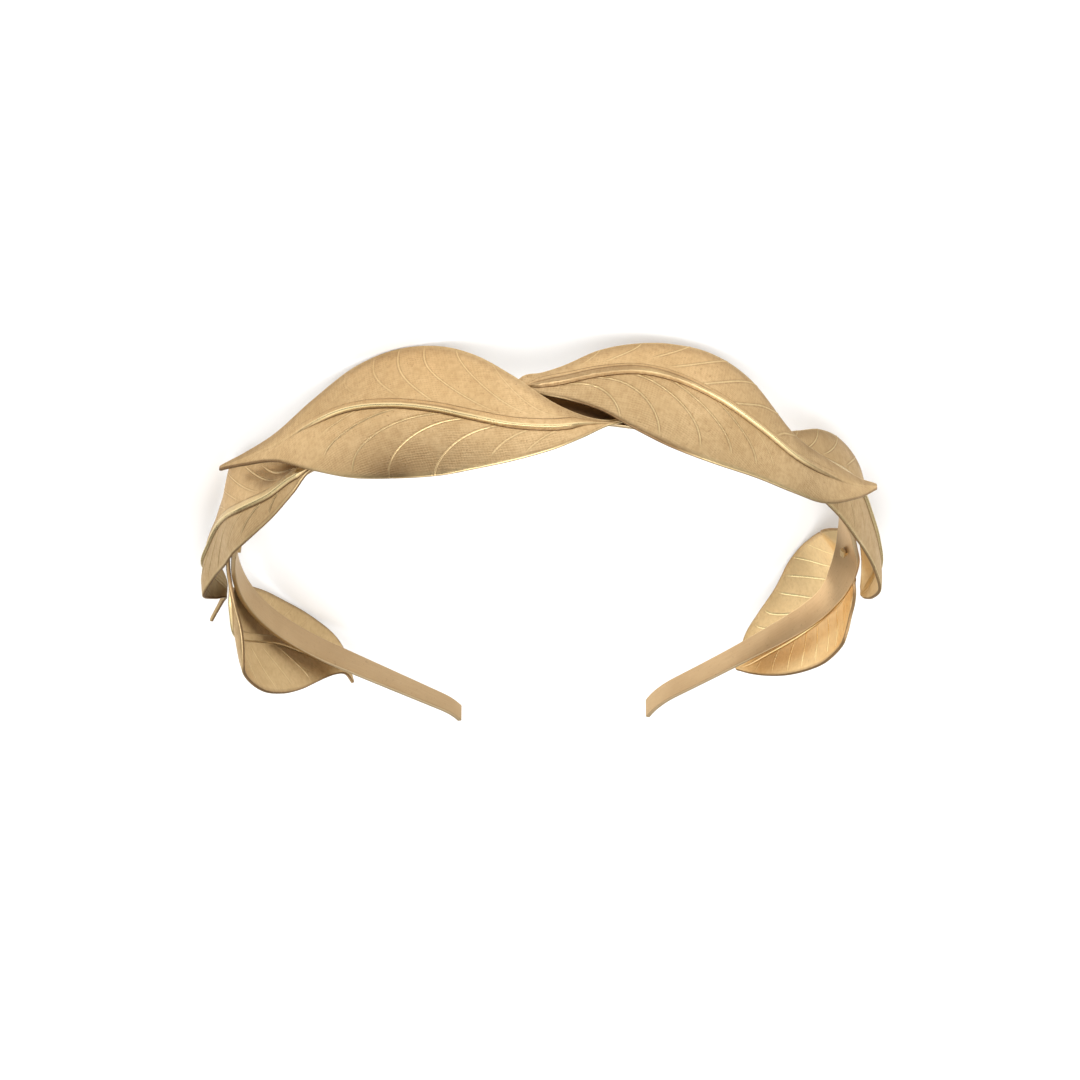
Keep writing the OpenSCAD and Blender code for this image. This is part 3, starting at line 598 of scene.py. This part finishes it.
def leaf_surface(leaf):
    """Every ring of a leaf's blade: points of its closed outline, and what the materials read."""
    veins = {half: vein_feet(leaf, half) for half in ("upper", "lower")}
    t = columns(leaf, veins)[:, None]
    edge_angles = np.linspace(0, np.pi / 2, EDGE_STEPS)
    parts = {}
    for half, steps in (("lower", LOWER_STEPS), ("upper", UPPER_STEPS)):
        foot = rib_foot(leaf, half, t)
        near_d = foot * np.array(steps) / RIB_ZONE
        near_s = np.repeat(t, len(steps), 1)
        near_v = near_d / widths(leaf, near_s)[half]
        far_q = np.arange(1, BLADE_STEPS + 1)[None, :] / BLADE_STEPS
        margin = widths(leaf, slant(leaf, veins[half], t, 1.0))[half]
        radius = np.minimum(EDGE_RADIUS, 0.3 * margin)
        room = np.maximum(margin - rib_foot(leaf, half, slant(leaf, veins[half], t, 1.0)), 0.1)
        far_q = far_q * (1 - radius / room)
        edge_q = 1 - radius * (1 - np.sin(edge_angles[None, 1:])) / room
        q = np.concatenate([far_q, edge_q], 1)
        far_s = slant(leaf, veins[half], t, q)
        far_width = widths(leaf, far_s)[half]
        first = rib_foot(leaf, half, far_s) / far_width
        far_v = first + (1 - first) * q
        s = np.concatenate([near_s, far_s], 1)
        v = np.concatenate([near_v, far_v], 1)
        drop = np.zeros_like(v)
        drop[:, 1 - EDGE_STEPS:] = radius * (1 - np.cos(edge_angles[None, 1:]))
        width = widths(leaf, s)[half]
        all_q = np.concatenate([np.zeros_like(near_v), q], 1)
        height, ridge, soft = vein_relief(leaf, half, veins[half], t, all_q, v, width)
        clear = smooth((v * width / foot - 0.8) / 0.25)
        parts[half] = (s, v, drop, width, height * clear, ridge * clear, soft * clear)
    none = np.zeros_like(t)
    line = (t, none, none, widths(leaf, t)["upper"], none, none, none)
    joined = [
        np.concatenate([low[:, ::-1], mid, high], 1)
        for low, mid, high in zip(parts["lower"], line, parts["upper"])
    ]
    s, v, drop, width, vein_height, ridge, soft = joined
    sign = np.ones(s.shape[1])
    sign[: len(LOWER_STEPS) + BLADE_STEPS + EDGE_STEPS - 1] = -1
    u = v * sign
    rib_half, rib_height = rib_size(leaf, s)
    x = u * width / rib_half
    profile, lit, rib_shade = rib_profile(x, leaf["upper_shine"])
    relief = rib_height * profile + vein_height
    full = rib_height / RIB_HEIGHT
    inward = width * (1 - v)
    rim = smooth((RIM_WIDTH - inward) / 0.3)
    rim_line = np.exp(-(((inward - RIM_LINE) / RIM_LINE_HALF) ** 2))
    # Along the rib: polish with a painted sheen on its lower flank, a painted dark line, and painted shade
    # on the flank.
    looks = np.array(leaf["rib_look"], float)
    shine, line, line_place, flank = [np.interp(s, looks[:, 0], looks[:, k]) for k in (1, 2, 3, 4)]
    lit = lit * shine
    rib_shade = np.maximum(rib_shade, line * np.exp(-(((x - line_place) / RIB_LINE_HALF) ** 2)))
    rib_shade = np.maximum(rib_shade, flank * smooth((line_place - x) / 0.3) * smooth((x - RIB_LOWER_FOOT) / 0.2))
    rims = np.array(leaf["rim_look"], float)
    # Painted shade on the lower rim.
    dark_rim = (u < 0) * np.interp(s, rims[:, 0], rims[:, 1]) * smooth((DARK_RIM_WIDTH - inward) / 0.2 + 1)
    rim_shine = np.where(u < 0, np.interp(s, rims[:, 0], rims[:, 2]), RIM_SHINE)
    # Polish with a painted sheen on the rib, the vein crests and the rims; painted shade in the rib's trench
    # and beside the veins, and on the inner face's rim backs.
    polish_and_sheen = np.maximum(np.maximum(full * lit, VEIN_POLISH_AND_SHEEN * ridge), rim_shine * rim * (1 - dark_rim))
    polish_and_sheen = np.clip(polish_and_sheen, 0, 1)
    painted_shade = np.clip(np.maximum(full * rib_shade, -ridge * VEIN_SHADE), 0, 1)
    share = leaf["inner_share"]
    inner_polish_and_sheen = np.maximum(share * np.maximum(polish_and_sheen, soft), leaf["inner_shine"]) * (1 - rim)
    inner_painted_shade = np.maximum(INNER_SHARE * painted_shade, RIM_BACK_SHADE * rim)
    # More painted shade: a thin line inside the rim, the rounded edge, the lower rim and near the upper
    # margin.
    edge = smooth(drop / EDGE_RADIUS)
    polish_and_sheen = polish_and_sheen * (1 - edge)
    painted_shade = np.maximum(np.maximum(painted_shade, RIM_LINE_SHADE * rim_line), RIM_EDGE_SHADE * edge)
    painted_shade = np.maximum(painted_shade, dark_rim)
    painted_shade = np.maximum(painted_shade, (u > 0) * MARGIN_SHADE * (1 - smooth(inward / MARGIN_WIDTH)) * (1 - polish_and_sheen))
    # Painted shade spots.
    for place, across, half_s, half_u, strength in leaf["shade_spots"]:
        away = ((s - place) / half_s) ** 2 + ((u - across) / half_u) ** 2
        painted_shade = np.maximum(painted_shade, strength * np.exp(-away))
    # Painted light and shade along the leaf, on each half and face.
    light_tones = np.array(leaf["light_tones"], float)
    tone = [np.interp(s, light_tones[:, 0], light_tones[:, column]) for column in (1, 2, 3, 4)]
    upward = smooth(0.5 + 2 * u)
    outer_tone = tone[1] + (tone[0] - tone[1]) * upward
    inner_tone = tone[3] + (tone[2] - tone[3]) * upward
    middle = sheet_point(leaf, s, u)
    normal = sheet_normal(leaf, s, u, rib_half / width)
    thick = SHEET / 2 - drop
    outer = middle + (thick + relief)[..., None] * normal
    inner = middle + (INNER_RELIEF * relief - thick)[..., None] * normal
    flat = np.stack([s, u * width], -1)
    return {
        "rings": np.concatenate([outer, inner[:, ::-1]], 1),
        "flat": np.concatenate([flat, flat[:, ::-1]], 1),
        "polish_and_sheen": np.concatenate([polish_and_sheen, inner_polish_and_sheen[:, ::-1]], 1),
        "painted_shade": np.concatenate([painted_shade, inner_painted_shade[:, ::-1]], 1),
        "outside": np.concatenate([np.ones_like(polish_and_sheen), np.zeros_like(polish_and_sheen)], 1),
        "tone": np.concatenate([outer_tone, inner_tone[:, ::-1]], 1),
        "fractions": u[0],
        "drops": drop[0],
    }


def own_tab(leaf):
    """Whether the tab is folded out of the middle of the blade, and not out of the stem's end."""
    return leaf["tab"][0] > leaf["rows"][0][0]


def tab_surface(leaf, fractions, drops):
    """The rings of the tab: flat inside the band, through its slot, and out to the stem or the blade."""
    side = leaf["side"]
    place, height = leaf["tab"]
    reach = BAND_HALF_THICKNESS + CLEARANCE + SHEET / 2
    path = [
        (-TAB_LENGTH, -reach, 1, 0), (-0.5 * TAB_LENGTH, -reach, 1, 0), (0.0, -reach, 1, 1),
        (0.0, -0.5 * reach, 0, 1), (0.0, 0.5 * reach, 0, 1), (0.0, reach, 0 if own_tab(leaf) else 1, 1),
    ]
    rings = []
    for shift, out, flat, folded in path:
        s = np.array(place + shift)
        point, along, outward, upward, _ = strip_axes(side, s)
        face = flat * outward - folded * along
        centre = point + out * outward + height * upward
        up = fractions[:, None] * TAB_HALF * upward
        thick = (SHEET / 2 - drops)[:, None]
        rings.append(np.concatenate([centre + up + thick * face, (centre + up - thick * face)[::-1]]))
    return np.array(rings)


def rested(points):
    """Worn millimetres as metres in the row's frame."""
    return (points @ REST.T + CENTRING) * MM


def about_x(a):
    return np.array([[1, 0, 0], [0, math.cos(a), -math.sin(a)], [0, math.sin(a), math.cos(a)]])


def about_y(a):
    return np.array([[math.cos(a), 0, math.sin(a)], [0, 1, 0], [-math.sin(a), 0, math.cos(a)]])


REST = about_y(math.pi + REST_TILT_Y) @ about_x(REST_TILT_X)


def add_fact(mesh, key, values):
    """Keeps what a material reads at the corners of the faces, where a cut or a join carries it on."""
    attribute = mesh.attributes.new(key, "FLOAT", "CORNER")
    attribute.data.foreach_set("value", values.astype(np.float32))


def loft(name, rings, facts, flat):
    """A closed mesh over rings of points, with its ends filled between the ring's two faces."""
    n_rings, n = rings.shape[:2]
    i = np.arange(n_rings - 1)[:, None]
    j = np.arange(n)[None, :]
    a = i * n + j
    b = i * n + (j + 1) % n
    walls = np.stack([a, b, b + n, a + n], -1).reshape(-1, 4)
    k = np.arange(n // 2 - 1)
    cap = np.stack([k, k + 1, n - 2 - k, n - 1 - k], -1)
    faces = np.concatenate([walls, cap[:, ::-1], cap + (n_rings - 1) * n])
    points = rings.reshape(-1, 3)
    tri = points[np.concatenate([faces[:, [0, 1, 2]], faces[:, [0, 2, 3]]])]
    volume = np.einsum("ij,ij->i", tri[:, 0], np.cross(tri[:, 1], tri[:, 2])).sum()
    if volume < 0:
        faces = faces[:, ::-1]
    mesh = bpy.data.meshes.new(name)
    mesh.from_pydata(points.tolist(), [], faces.tolist())
    mesh.update()
    corner = np.zeros(len(mesh.loops), np.int32)
    mesh.loops.foreach_get("vertex_index", corner)
    for key, values in facts.items():
        add_fact(mesh, key, values.reshape(-1)[corner])
    layer = mesh.uv_layers.new(name="flat")
    layer.uv.foreach_set("vector", flat.reshape(-1, 2)[corner].astype(np.float32).ravel())
    shade(mesh)
    piece = bpy.data.objects.new(name, mesh)
    bpy.context.scene.collection.objects.link(piece)
    return piece


def make_leaf(name):
    leaf = dict(
        LEAVES[name],
        shade_spots=SHADE_SPOTS.get(name, []),
        light_tones=LEAF_LIGHT_TONES[name],
        inner_share=INNER_SHARES.get(name, INNER_SHARE),
        inner_shine=INNER_SHINES.get(name, INNER_SHINE),
        rib_look=RIB_LOOKS.get(name, RIB_LOOK),
        rim_look=RIM_LOOKS.get(name, RIM_LOOK),
    )
    blade = leaf_surface(leaf)
    tab = rested(tab_surface(leaf, blade["fractions"], blade["drops"]))
    rings = rested(blade["rings"])
    # The tab: a little polish with a painted sheen, and no painted shade.
    plain = {"polish_and_sheen": TAB_SHINE, "painted_shade": 0.0, "outside": 0.0, "tone": 1.0}
    facts = {key: blade[key] for key in plain}
    tab_facts = {key: np.full(tab.shape[:2], value) for key, value in plain.items()}
    lengths = np.linspace(*TAB_FLAT, len(tab))[:, None] + leaf["rows"][0][0]
    tab_flat = np.stack([np.repeat(lengths, tab.shape[1], 1), np.zeros(tab.shape[:2])], -1)
    tab_flat[..., 1] = np.concatenate([blade["fractions"], blade["fractions"][::-1]]) * TAB_HALF
    if not own_tab(leaf):
        facts = {key: np.concatenate([tab_facts[key], facts[key]]) for key in facts}
        flat = np.concatenate([tab_flat, blade["flat"]])
        return loft(name + "_fine", np.concatenate([tab, rings]), facts, flat)
    piece = loft(name + "_fine", rings, facts, blade["flat"])
    apply_boolean(piece, loft(name + "_tab", tab, tab_facts, tab_flat), "UNION")
    shade(piece.data)
    return piece


def apply_boolean(piece, other, operation):
    """Joins another solid to a piece, or cuts it away, and removes the other one."""
    modifier = piece.modifiers.new("join", "BOOLEAN")
    modifier.object = other
    modifier.operation = operation
    modifier.solver = "EXACT"
    bpy.context.view_layer.objects.active = piece
    bpy.ops.object.modifier_apply(modifier=modifier.name)
    bpy.data.objects.remove(other)


def shade(mesh):
    mesh.shade_smooth()
    mesh.set_sharp_from_angle(angle=math.radians(SHARP_FROM))


def strip_ring(side, s):
    """The rounded outline of the strip at one distance, and the distance round it."""
    point, _, outward, upward, half = strip_axes(side, np.array(float(s)))
    t, c = BAND_HALF_THICKNESS, BAND_CORNER
    turn = np.linspace(0, np.pi / 2, 5)
    corner = np.stack([c * np.cos(turn), c * np.sin(turn)], -1)
    spots = []
    for sx, sy in ((1, 1), (-1, 1), (-1, -1), (1, -1)):
        arc = corner * [sx, sy] + [sx * (t - c), sy * (half - c)]
        if sx * sy < 0:
            arc = arc[::-1]
        spots.append(arc)
    spots = np.concatenate(spots)
    return point + spots[:, :1] * outward + spots[:, 1:] * upward, spots


def make_band():
    sides = []
    for side in (RIGHT, LEFT):
        count = round(half_length(side) / BAND_STEP)
        places = np.linspace(0, half_length(side), count + 1)
        sides.append((side, places if side == LEFT else places[:0:-1]))
    rings, flat, polish_and_sheen, painted_shade, tone = [], [], [], [], []
    light_tones = np.array(STRIP_LIGHT_TONES)
    for side, places in sides:
        for s in places:
            ring, spots = strip_ring(side, s)
            rings.append(ring)
            across = spots[:, 1] + (spots[:, 0] < 0) * INSIDE_SHIFT
            flat.append(np.stack([np.full(len(spots), side * s), across], -1))
            # The rounded edges are fully polished, with a painted sheen.
            straight = np.abs(np.abs(spots[:, 0]) - BAND_HALF_THICKNESS) < 0.02
            polish_and_sheen.append(np.where(straight, STRIP_SHINE, 1.0))
            # Painted shade where the front leaves cross the outer face, and along one edge inside where the
            # strip twists.
            dark = CROSSING_SHADE * smooth((CROSSING - s) / CROSSING_BLEND)
            near = math.exp(-(((side * s - TWIST) / TWIST_REACH) ** 2))
            twist_painted_shade = TWIST_SHADE * near * smooth(spots[:, 1] / 3)
            painted_shade.append(np.where(spots[:, 0] > BAND_HALF_THICKNESS - 0.02, dark, twist_painted_shade))
            # Painted light and shade along the strip.
            tone.append(np.full(len(spots), np.interp(side * s, light_tones[:, 0], light_tones[:, 1])))
    rings = np.array(rings)
    n = rings.shape[1]
    # loft fills an end between point k and its partner, so the ring starts at the middle of an edge.
    order = np.roll(np.arange(n), -(n // 8 + n // 16))
    facts = {"polish_and_sheen": polish_and_sheen, "painted_shade": painted_shade, "tone": tone}
    facts = {key: np.array(values)[:, order] for key, values in facts.items()}
    band = loft("band_fine", rested(rings[:, order]), facts, np.array(flat)[:, order])
    cut_slots(band)
    return band


def cut_slots(band):
    """Cuts the six small slots that the leaves' tabs pass through."""
    for name, leaf in LEAVES.items():
        place, height = leaf["tab"]
        point, along, outward, upward, _ = strip_axes(leaf["side"], np.array(place))
        half = np.array([SHEET / 2 + CLEARANCE, 2 * BAND_HALF_THICKNESS * SLOT_REACH, TAB_HALF + CLEARANCE])
        corners = []
        for z in (-1, 1):
            for x, y in ((-1, -1), (1, -1), (1, 1), (-1, 1)):
                sideways = x * half[0] * along + y * half[1] * outward
                corners.append(point + sideways + (height + z * half[2]) * upward)
        quads = [(3, 2, 1, 0), (4, 5, 6, 7), (0, 1, 5, 4), (1, 2, 6, 5), (2, 3, 7, 6), (3, 0, 4, 7)]
        mesh = bpy.data.meshes.new("slot")
        mesh.from_pydata(rested(np.array(corners)).tolist(), [], quads)
        if leaf["side"] == RIGHT:
            mesh.flip_normals()
        mesh.update()
        for key, value in SLOT_WALL.items():
            add_fact(mesh, key, np.full(len(mesh.loops), value))
        cutter = bpy.data.objects.new("slot_" + name, mesh)
        bpy.context.scene.collection.objects.link(cutter)
        apply_boolean(band, cutter, "DIFFERENCE")


# No metal is paler than the first, and at a grazing angle the brass mirrors the second and not white.
PALEST = (0.97, 0.93, 0.8)
GRAZING_TINT = (1.0, 0.92, 0.78, 1)
# The brass of the leaves, and of the strip. The polished colour is partly a painted sheen, and the darkest
# one is painted shade.
LEAF = {
    "dark": (0.50, 0.345, 0.175, 1), "pale": (0.615, 0.44, 0.24, 1), "mottle": (0.42, 0.275, 0.13, 1),
    "hatch": (0.39, 0.245, 0.115, 1), "speck": (0.27, 0.155, 0.07, 1), "grain": (0.40, 0.255, 0.12, 1),
    "polished_sheen": (0.77, 0.63, 0.34, 1), "painted_shade_brown": (0.10, 0.045, 0.018, 1),
}
STRIP = {
    "dark": (0.385, 0.25, 0.13, 1), "pale": (0.485, 0.335, 0.185, 1), "streak": (0.365, 0.235, 0.12, 1),
    "speck": (0.24, 0.14, 0.07, 1), "polished_sheen": (0.70, 0.56, 0.35, 1), "painted_shade_brown": (0.09, 0.045, 0.02, 1),
}
# The two sets of fine lines on the leaves: angle in degrees, and pitch.
HATCHING = ((74, 0.55), (-16, 0.62))
SECOND_SHARE = 0.7


class Tree:
    """Short calls for building a node tree."""

    def __init__(self, material):
        self.tree = material.node_tree
        self.tree.nodes.clear()

    def node(self, kind, settings=None, **inputs):
        made = self.tree.nodes.new(kind)
        for key, value in (settings or {}).items():
            setattr(made, key, value)
        for key, value in inputs.items():
            numbered = key[0] == "i" and key[1:].isdigit()
            socket = made.inputs[int(key[1:]) if numbered else key.replace("_", " ")]
            if isinstance(value, bpy.types.NodeSocket):
                self.tree.links.new(value, socket)
            else:
                socket.default_value = value
        return made

    def math(self, operation, a, b=0.0, clamp=False):
        settings = {"operation": operation, "use_clamp": clamp}
        return self.node("ShaderNodeMath", settings, i0=a, i1=b).outputs[0]

    def mix(self, factor, a, b):
        made = self.node("ShaderNodeMix", {"data_type": "RGBA"})
        for index, value in ((0, factor), (6, a), (7, b)):
            if isinstance(value, bpy.types.NodeSocket):
                self.tree.links.new(value, made.inputs[index])
            else:
                made.inputs[index].default_value = value
        return made.outputs[2]

    def scaled(self, colour, factor):
        made = self.node("ShaderNodeVectorMath", {"operation": "SCALE"}, i0=colour, Scale=factor).outputs[0]
        return self.node("ShaderNodeVectorMath", {"operation": "MINIMUM"}, i0=made, i1=PALEST).outputs[0]

    def ranged(self, value, low, high, to_low, to_high):
        made = self.node("ShaderNodeMapRange", None, Value=value, i1=low, i2=high, i3=to_low, i4=to_high)
        return made.outputs[0]

    def fact(self, name):
        return self.node("ShaderNodeAttribute", {"attribute_name": name}).outputs["Fac"]

    def noise(self, vector, scale, detail=3.0, rough=0.55):
        return self.node(
            "ShaderNodeTexNoise", None, Vector=vector, Scale=scale, Detail=detail, Roughness=rough
        ).outputs[0]


def hatch(t, flat, angle, pitch, wobble):
    """Fine parallel lines, pitch millimetres apart, at an angle to the leaf's length."""
    turn = (2 * math.pi / pitch * math.cos(angle), 2 * math.pi / pitch * math.sin(angle), 0)
    phase = t.node("ShaderNodeVectorMath", {"operation": "DOT_PRODUCT"}, i0=flat, i1=turn).outputs["Value"]
    return t.math("SINE", t.math("ADD", phase, wobble))


def leaf_material():
    """Satin brass: fine hatching on the outside, polished crests and margins with a painted sheen, painted
    shade in the creases, and painted light and shade along each leaf.
    """
    material = bpy.data.materials.new("leaf_brass")
    material.use_nodes = True
    t = Tree(material)
    flat = t.node("ShaderNodeUVMap", {"uv_map": "flat"}).outputs[0]
    solid = t.node("ShaderNodeTexCoord").outputs["Object"]
    polish_and_sheen, painted_shade, outside = t.fact("polish_and_sheen"), t.fact("painted_shade"), t.fact("outside")
    clouds = t.noise(solid, 60.0, 4.0)
    mottle = t.noise(solid, 500.0, 3.0)
    specks = t.noise(solid, 1500.0, 2.0)
    grain = t.noise(solid, 1100.0, 1.0, 0.4)
    wobble = t.math("MULTIPLY", t.noise(flat, 0.5, 2.0), 7.0)
    first, second = [hatch(t, flat, math.radians(angle), pitch, wobble) for angle, pitch in HATCHING]
    lines = t.math("ADD", first, t.math("MULTIPLY", second, SECOND_SHARE))
    patches = t.ranged(t.noise(flat, 0.14, 2.0), 0.38, 0.62, 0.25, 1.0)
    plain = t.math("SUBTRACT", 1.0, polish_and_sheen, clamp=True)
    weave = t.math("MULTIPLY", t.math("MULTIPLY", lines, patches), plain)
    weave = t.math("MULTIPLY", weave, t.ranged(outside, 0.0, 1.0, 0.15, 1.0))
    tone = t.mix(t.ranged(clouds, 0.3, 0.7, 0.0, 1.0), LEAF["dark"], LEAF["pale"])
    tone = t.mix(t.ranged(mottle, 0.45, 0.75, 0.0, 0.28), tone, LEAF["mottle"])
    tone = t.mix(t.ranged(weave, 0.0, 1.7, 0.0, 0.62), tone, LEAF["hatch"])
    tone = t.mix(t.ranged(specks, 0.66, 0.74, 0.0, 0.6), tone, LEAF["speck"])
    tone = t.mix(t.ranged(grain, 0.4, 0.72, 0.0, 0.4), tone, LEAF["grain"])
    # Painted sheen where the brass is polished.
    tone = t.mix(t.math("MULTIPLY", polish_and_sheen, 0.8), tone, LEAF["polished_sheen"])
    # Painted light and shade along each leaf.
    tone = t.scaled(tone, t.fact("tone"))
    # Painted shade in the creases, grooves and along the rims.
    tone = t.mix(t.math("MULTIPLY", painted_shade, 0.9), tone, LEAF["painted_shade_brown"])
    rough = t.ranged(mottle, 0.3, 0.7, 0.38, 0.48)
    rough = t.math("SUBTRACT", rough, t.math("MULTIPLY", polish_and_sheen, 0.2))
    height = t.math("ADD", t.math("MULTIPLY", weave, -0.35), t.math("MULTIPLY", specks, 1.2))
    bump = t.node("ShaderNodeBump", None, Strength=1.0, Distance=0.00003, Height=height).outputs[0]
    shader = t.node(
        "ShaderNodeBsdfPrincipled", None, Base_Color=tone, Metallic=1.0, Roughness=rough, Normal=bump,
        Specular_Tint=GRAZING_TINT,
    )
    t.node("ShaderNodeOutputMaterial", None, Surface=shader.outputs[0])
    return material


def strip_material():
    """The strip: the same brass, brushed along its length and a little darker, with painted light and shade
    along it, painted shade where leaves cross or it twists, and a painted sheen on its rounded edges.
    """
    material = bpy.data.materials.new("strip_brass")
    material.use_nodes = True
    t = Tree(material)
    flat = t.node("ShaderNodeUVMap", {"uv_map": "flat"}).outputs[0]
    solid = t.node("ShaderNodeTexCoord").outputs["Object"]
    polish_and_sheen, painted_shade = t.fact("polish_and_sheen"), t.fact("painted_shade")
    stretched = t.node(
        "ShaderNodeMapping", None, Vector=flat, Scale=(0.15, 4.0, 1.0)
    ).outputs[0]
    streaks = t.noise(stretched, 1.0, 4.0, 0.6)
    clouds = t.noise(solid, 55.0, 4.0)
    specks = t.noise(solid, 1300.0, 2.0)
    tone = t.mix(t.ranged(clouds, 0.3, 0.7, 0.0, 1.0), STRIP["dark"], STRIP["pale"])
    tone = t.mix(t.ranged(streaks, 0.4, 0.7, 0.0, 0.4), tone, STRIP["streak"])
    tone = t.mix(t.ranged(specks, 0.64, 0.74, 0.0, 0.5), tone, STRIP["speck"])
    # Painted light and shade along the strip.
    tone = t.scaled(tone, t.fact("tone"))
    # Painted sheen on the polished edges.
    tone = t.mix(t.math("MULTIPLY", polish_and_sheen, 0.5), tone, STRIP["polished_sheen"])
    # Painted shade where the leaves cross it and where it twists.
    tone = t.mix(painted_shade, tone, STRIP["painted_shade_brown"])
    rough = t.ranged(streaks, 0.3, 0.7, 0.38, 0.46)
    rough = t.math("SUBTRACT", rough, t.math("MULTIPLY", polish_and_sheen, 0.12))
    height = t.math("ADD", t.math("MULTIPLY", streaks, 1.0), t.math("MULTIPLY", specks, 0.8))
    bump = t.node("ShaderNodeBump", None, Strength=1.0, Distance=0.00002, Height=height).outputs[0]
    shader = t.node(
        "ShaderNodeBsdfPrincipled", None, Base_Color=tone, Metallic=1.0, Roughness=rough, Normal=bump,
        Specular_Tint=GRAZING_TINT,
    )
    t.node("ShaderNodeOutputMaterial", None, Surface=shader.outputs[0])
    return material


def floor_material():
    material = bpy.data.materials.new("floor_pale")
    material.use_nodes = True
    t = Tree(material)
    solid = t.node("ShaderNodeTexCoord").outputs["Object"]
    tone = t.mix(t.noise(solid, 3.0), (0.91, 0.91, 0.91, 1), (0.93, 0.93, 0.93, 1))
    shader = t.node("ShaderNodeBsdfPrincipled", None, Base_Color=tone, Roughness=0.8)
    t.node("ShaderNodeOutputMaterial", None, Surface=shader.outputs[0])
    return material


# The camera: the photo's view of the worn headband, taken along to where it rests.
VIEW_UP = math.radians(28)
VIEW_YAW = math.radians(1.4)
VIEW_DISTANCE = 780.0
PIXELS_A_MM = 4.3
PHOTO_SIDE = 1080
AIM_RIGHT = 4.0
SENSOR = 36.0
FLOOR_HALF = 3.0
FLOOR_DROP = 0.0002
# The soft boxes: place, aim, size and watts.
FRONT_BOX = ((0.03, -0.5, 0.56), (0, -0.08, 0), (0.9, 0.35), 3.2)
TOP_BOX = ((0.0, 0.0, 1.0), (0, 0, 0), (1.6, 1.2), 2.0)
# The room's brightness at the horizon, in front and behind, and overhead, and its dark door.
ROOM_FRONT = 0.55
ROOM_BACK = 0.3
ROOM_HIGH = 1.3
DOOR_WAY = (0.78, -0.61, 0.11)
DOOR_INNER = 10.0
DOOR_OUTER = 32.0
DOOR_LEVEL = 0.1


def make_camera():
    forward = np.array([
        math.sin(VIEW_YAW) * math.cos(VIEW_UP), math.cos(VIEW_YAW) * math.cos(VIEW_UP), math.sin(VIEW_UP)
    ])
    rightward = np.array([math.cos(VIEW_YAW), -math.sin(VIEW_YAW), 0.0])
    upward = np.cross(rightward, forward)
    eye = -VIEW_DISTANCE * forward - AIM_RIGHT / PIXELS_A_MM * rightward
    place = rested(eye)
    axes = [REST @ rightward, REST @ upward, REST @ -forward]
    data = bpy.data.cameras.new("camera")
    data.sensor_width = SENSOR
    data.lens = PIXELS_A_MM * VIEW_DISTANCE / PHOTO_SIDE * SENSOR
    data.clip_start = 0.01
    camera = bpy.data.objects.new("camera", data)
    camera.matrix_world = Matrix([
        [axes[0][k], axes[1][k], axes[2][k], place[k]] for k in range(3)
    ] + [[0, 0, 0, 1]])
    bpy.context.scene.collection.objects.link(camera)
    bpy.context.scene.camera = camera


def make_floor():
    corners = [(x * FLOOR_HALF, y * FLOOR_HALF, 0) for x, y in ((-1, -1), (1, -1), (1, 1), (-1, 1))]
    mesh = bpy.data.meshes.new("floor")
    mesh.from_pydata(corners, [], [(0, 1, 2, 3)])
    floor = bpy.data.objects.new("floor", mesh)
    floor.location.z = -FLOOR_DROP
    floor.data.materials.append(floor_material())
    bpy.context.scene.collection.objects.link(floor)


def area_light(name, place, target, size, power):
    data = bpy.data.lights.new(name, "AREA")
    data.shape = "RECTANGLE"
    data.size, data.size_y = size
    data.energy = power
    light = bpy.data.objects.new(name, data)
    light.location = place
    light.rotation_mode = "QUATERNION"
    light.rotation_quaternion = (Vector(target) - Vector(place)).to_track_quat("-Z", "Y")
    bpy.context.scene.collection.objects.link(light)


def make_light():
    """Two soft boxes in a pale room that is darker in one direction, where its door stands open."""
    area_light("front_softbox", *FRONT_BOX)
    area_light("top_softbox", *TOP_BOX)
    world = bpy.data.worlds.new("studio")
    bpy.context.scene.world = world
    world.use_nodes = True
    t = Tree(world)
    way = t.node("ShaderNodeTexCoord").outputs["Generated"]
    split = t.node("ShaderNodeSeparateXYZ", None, Vector=way)
    low = t.ranged(split.outputs["Y"], -0.6, 0.2, ROOM_FRONT, ROOM_BACK)
    high = t.node("ShaderNodeMapRange", {"interpolation_type": "SMOOTHSTEP"}, Value=split.outputs["Z"],
                  i1=0.05, i2=0.85, i3=low, i4=ROOM_HIGH).outputs[0]
    facing = t.node("ShaderNodeVectorMath", {"operation": "DOT_PRODUCT"}, i0=way, i1=DOOR_WAY)
    door = facing.outputs["Value"]
    shut = t.node("ShaderNodeMapRange", {"interpolation_type": "SMOOTHSTEP"}, Value=door,
                  i1=math.cos(math.radians(DOOR_OUTER)), i2=math.cos(math.radians(DOOR_INNER)),
                  i3=1.0, i4=DOOR_LEVEL).outputs[0]
    back = t.node(
        "ShaderNodeBackground", None, Color=(1.0, 0.99, 0.97, 1), Strength=t.math("MULTIPLY", high, shut)
    )
    t.node("ShaderNodeOutputWorld", None, Surface=back.outputs[0])


make_camera()
make_floor()
make_light()
bpy.context.scene.view_settings.view_transform = "Standard"
LEAF_BRASS = leaf_material()
STRIP_BRASS = strip_material()
for leaf_name in LEAVES:
    made = make_leaf(leaf_name)
    made.data.materials.append(LEAF_BRASS)
    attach(made, "root")
    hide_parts(leaf_name)
band_piece = make_band()
band_piece.data.materials.append(STRIP_BRASS)
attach(band_piece, "root")
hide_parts("band")
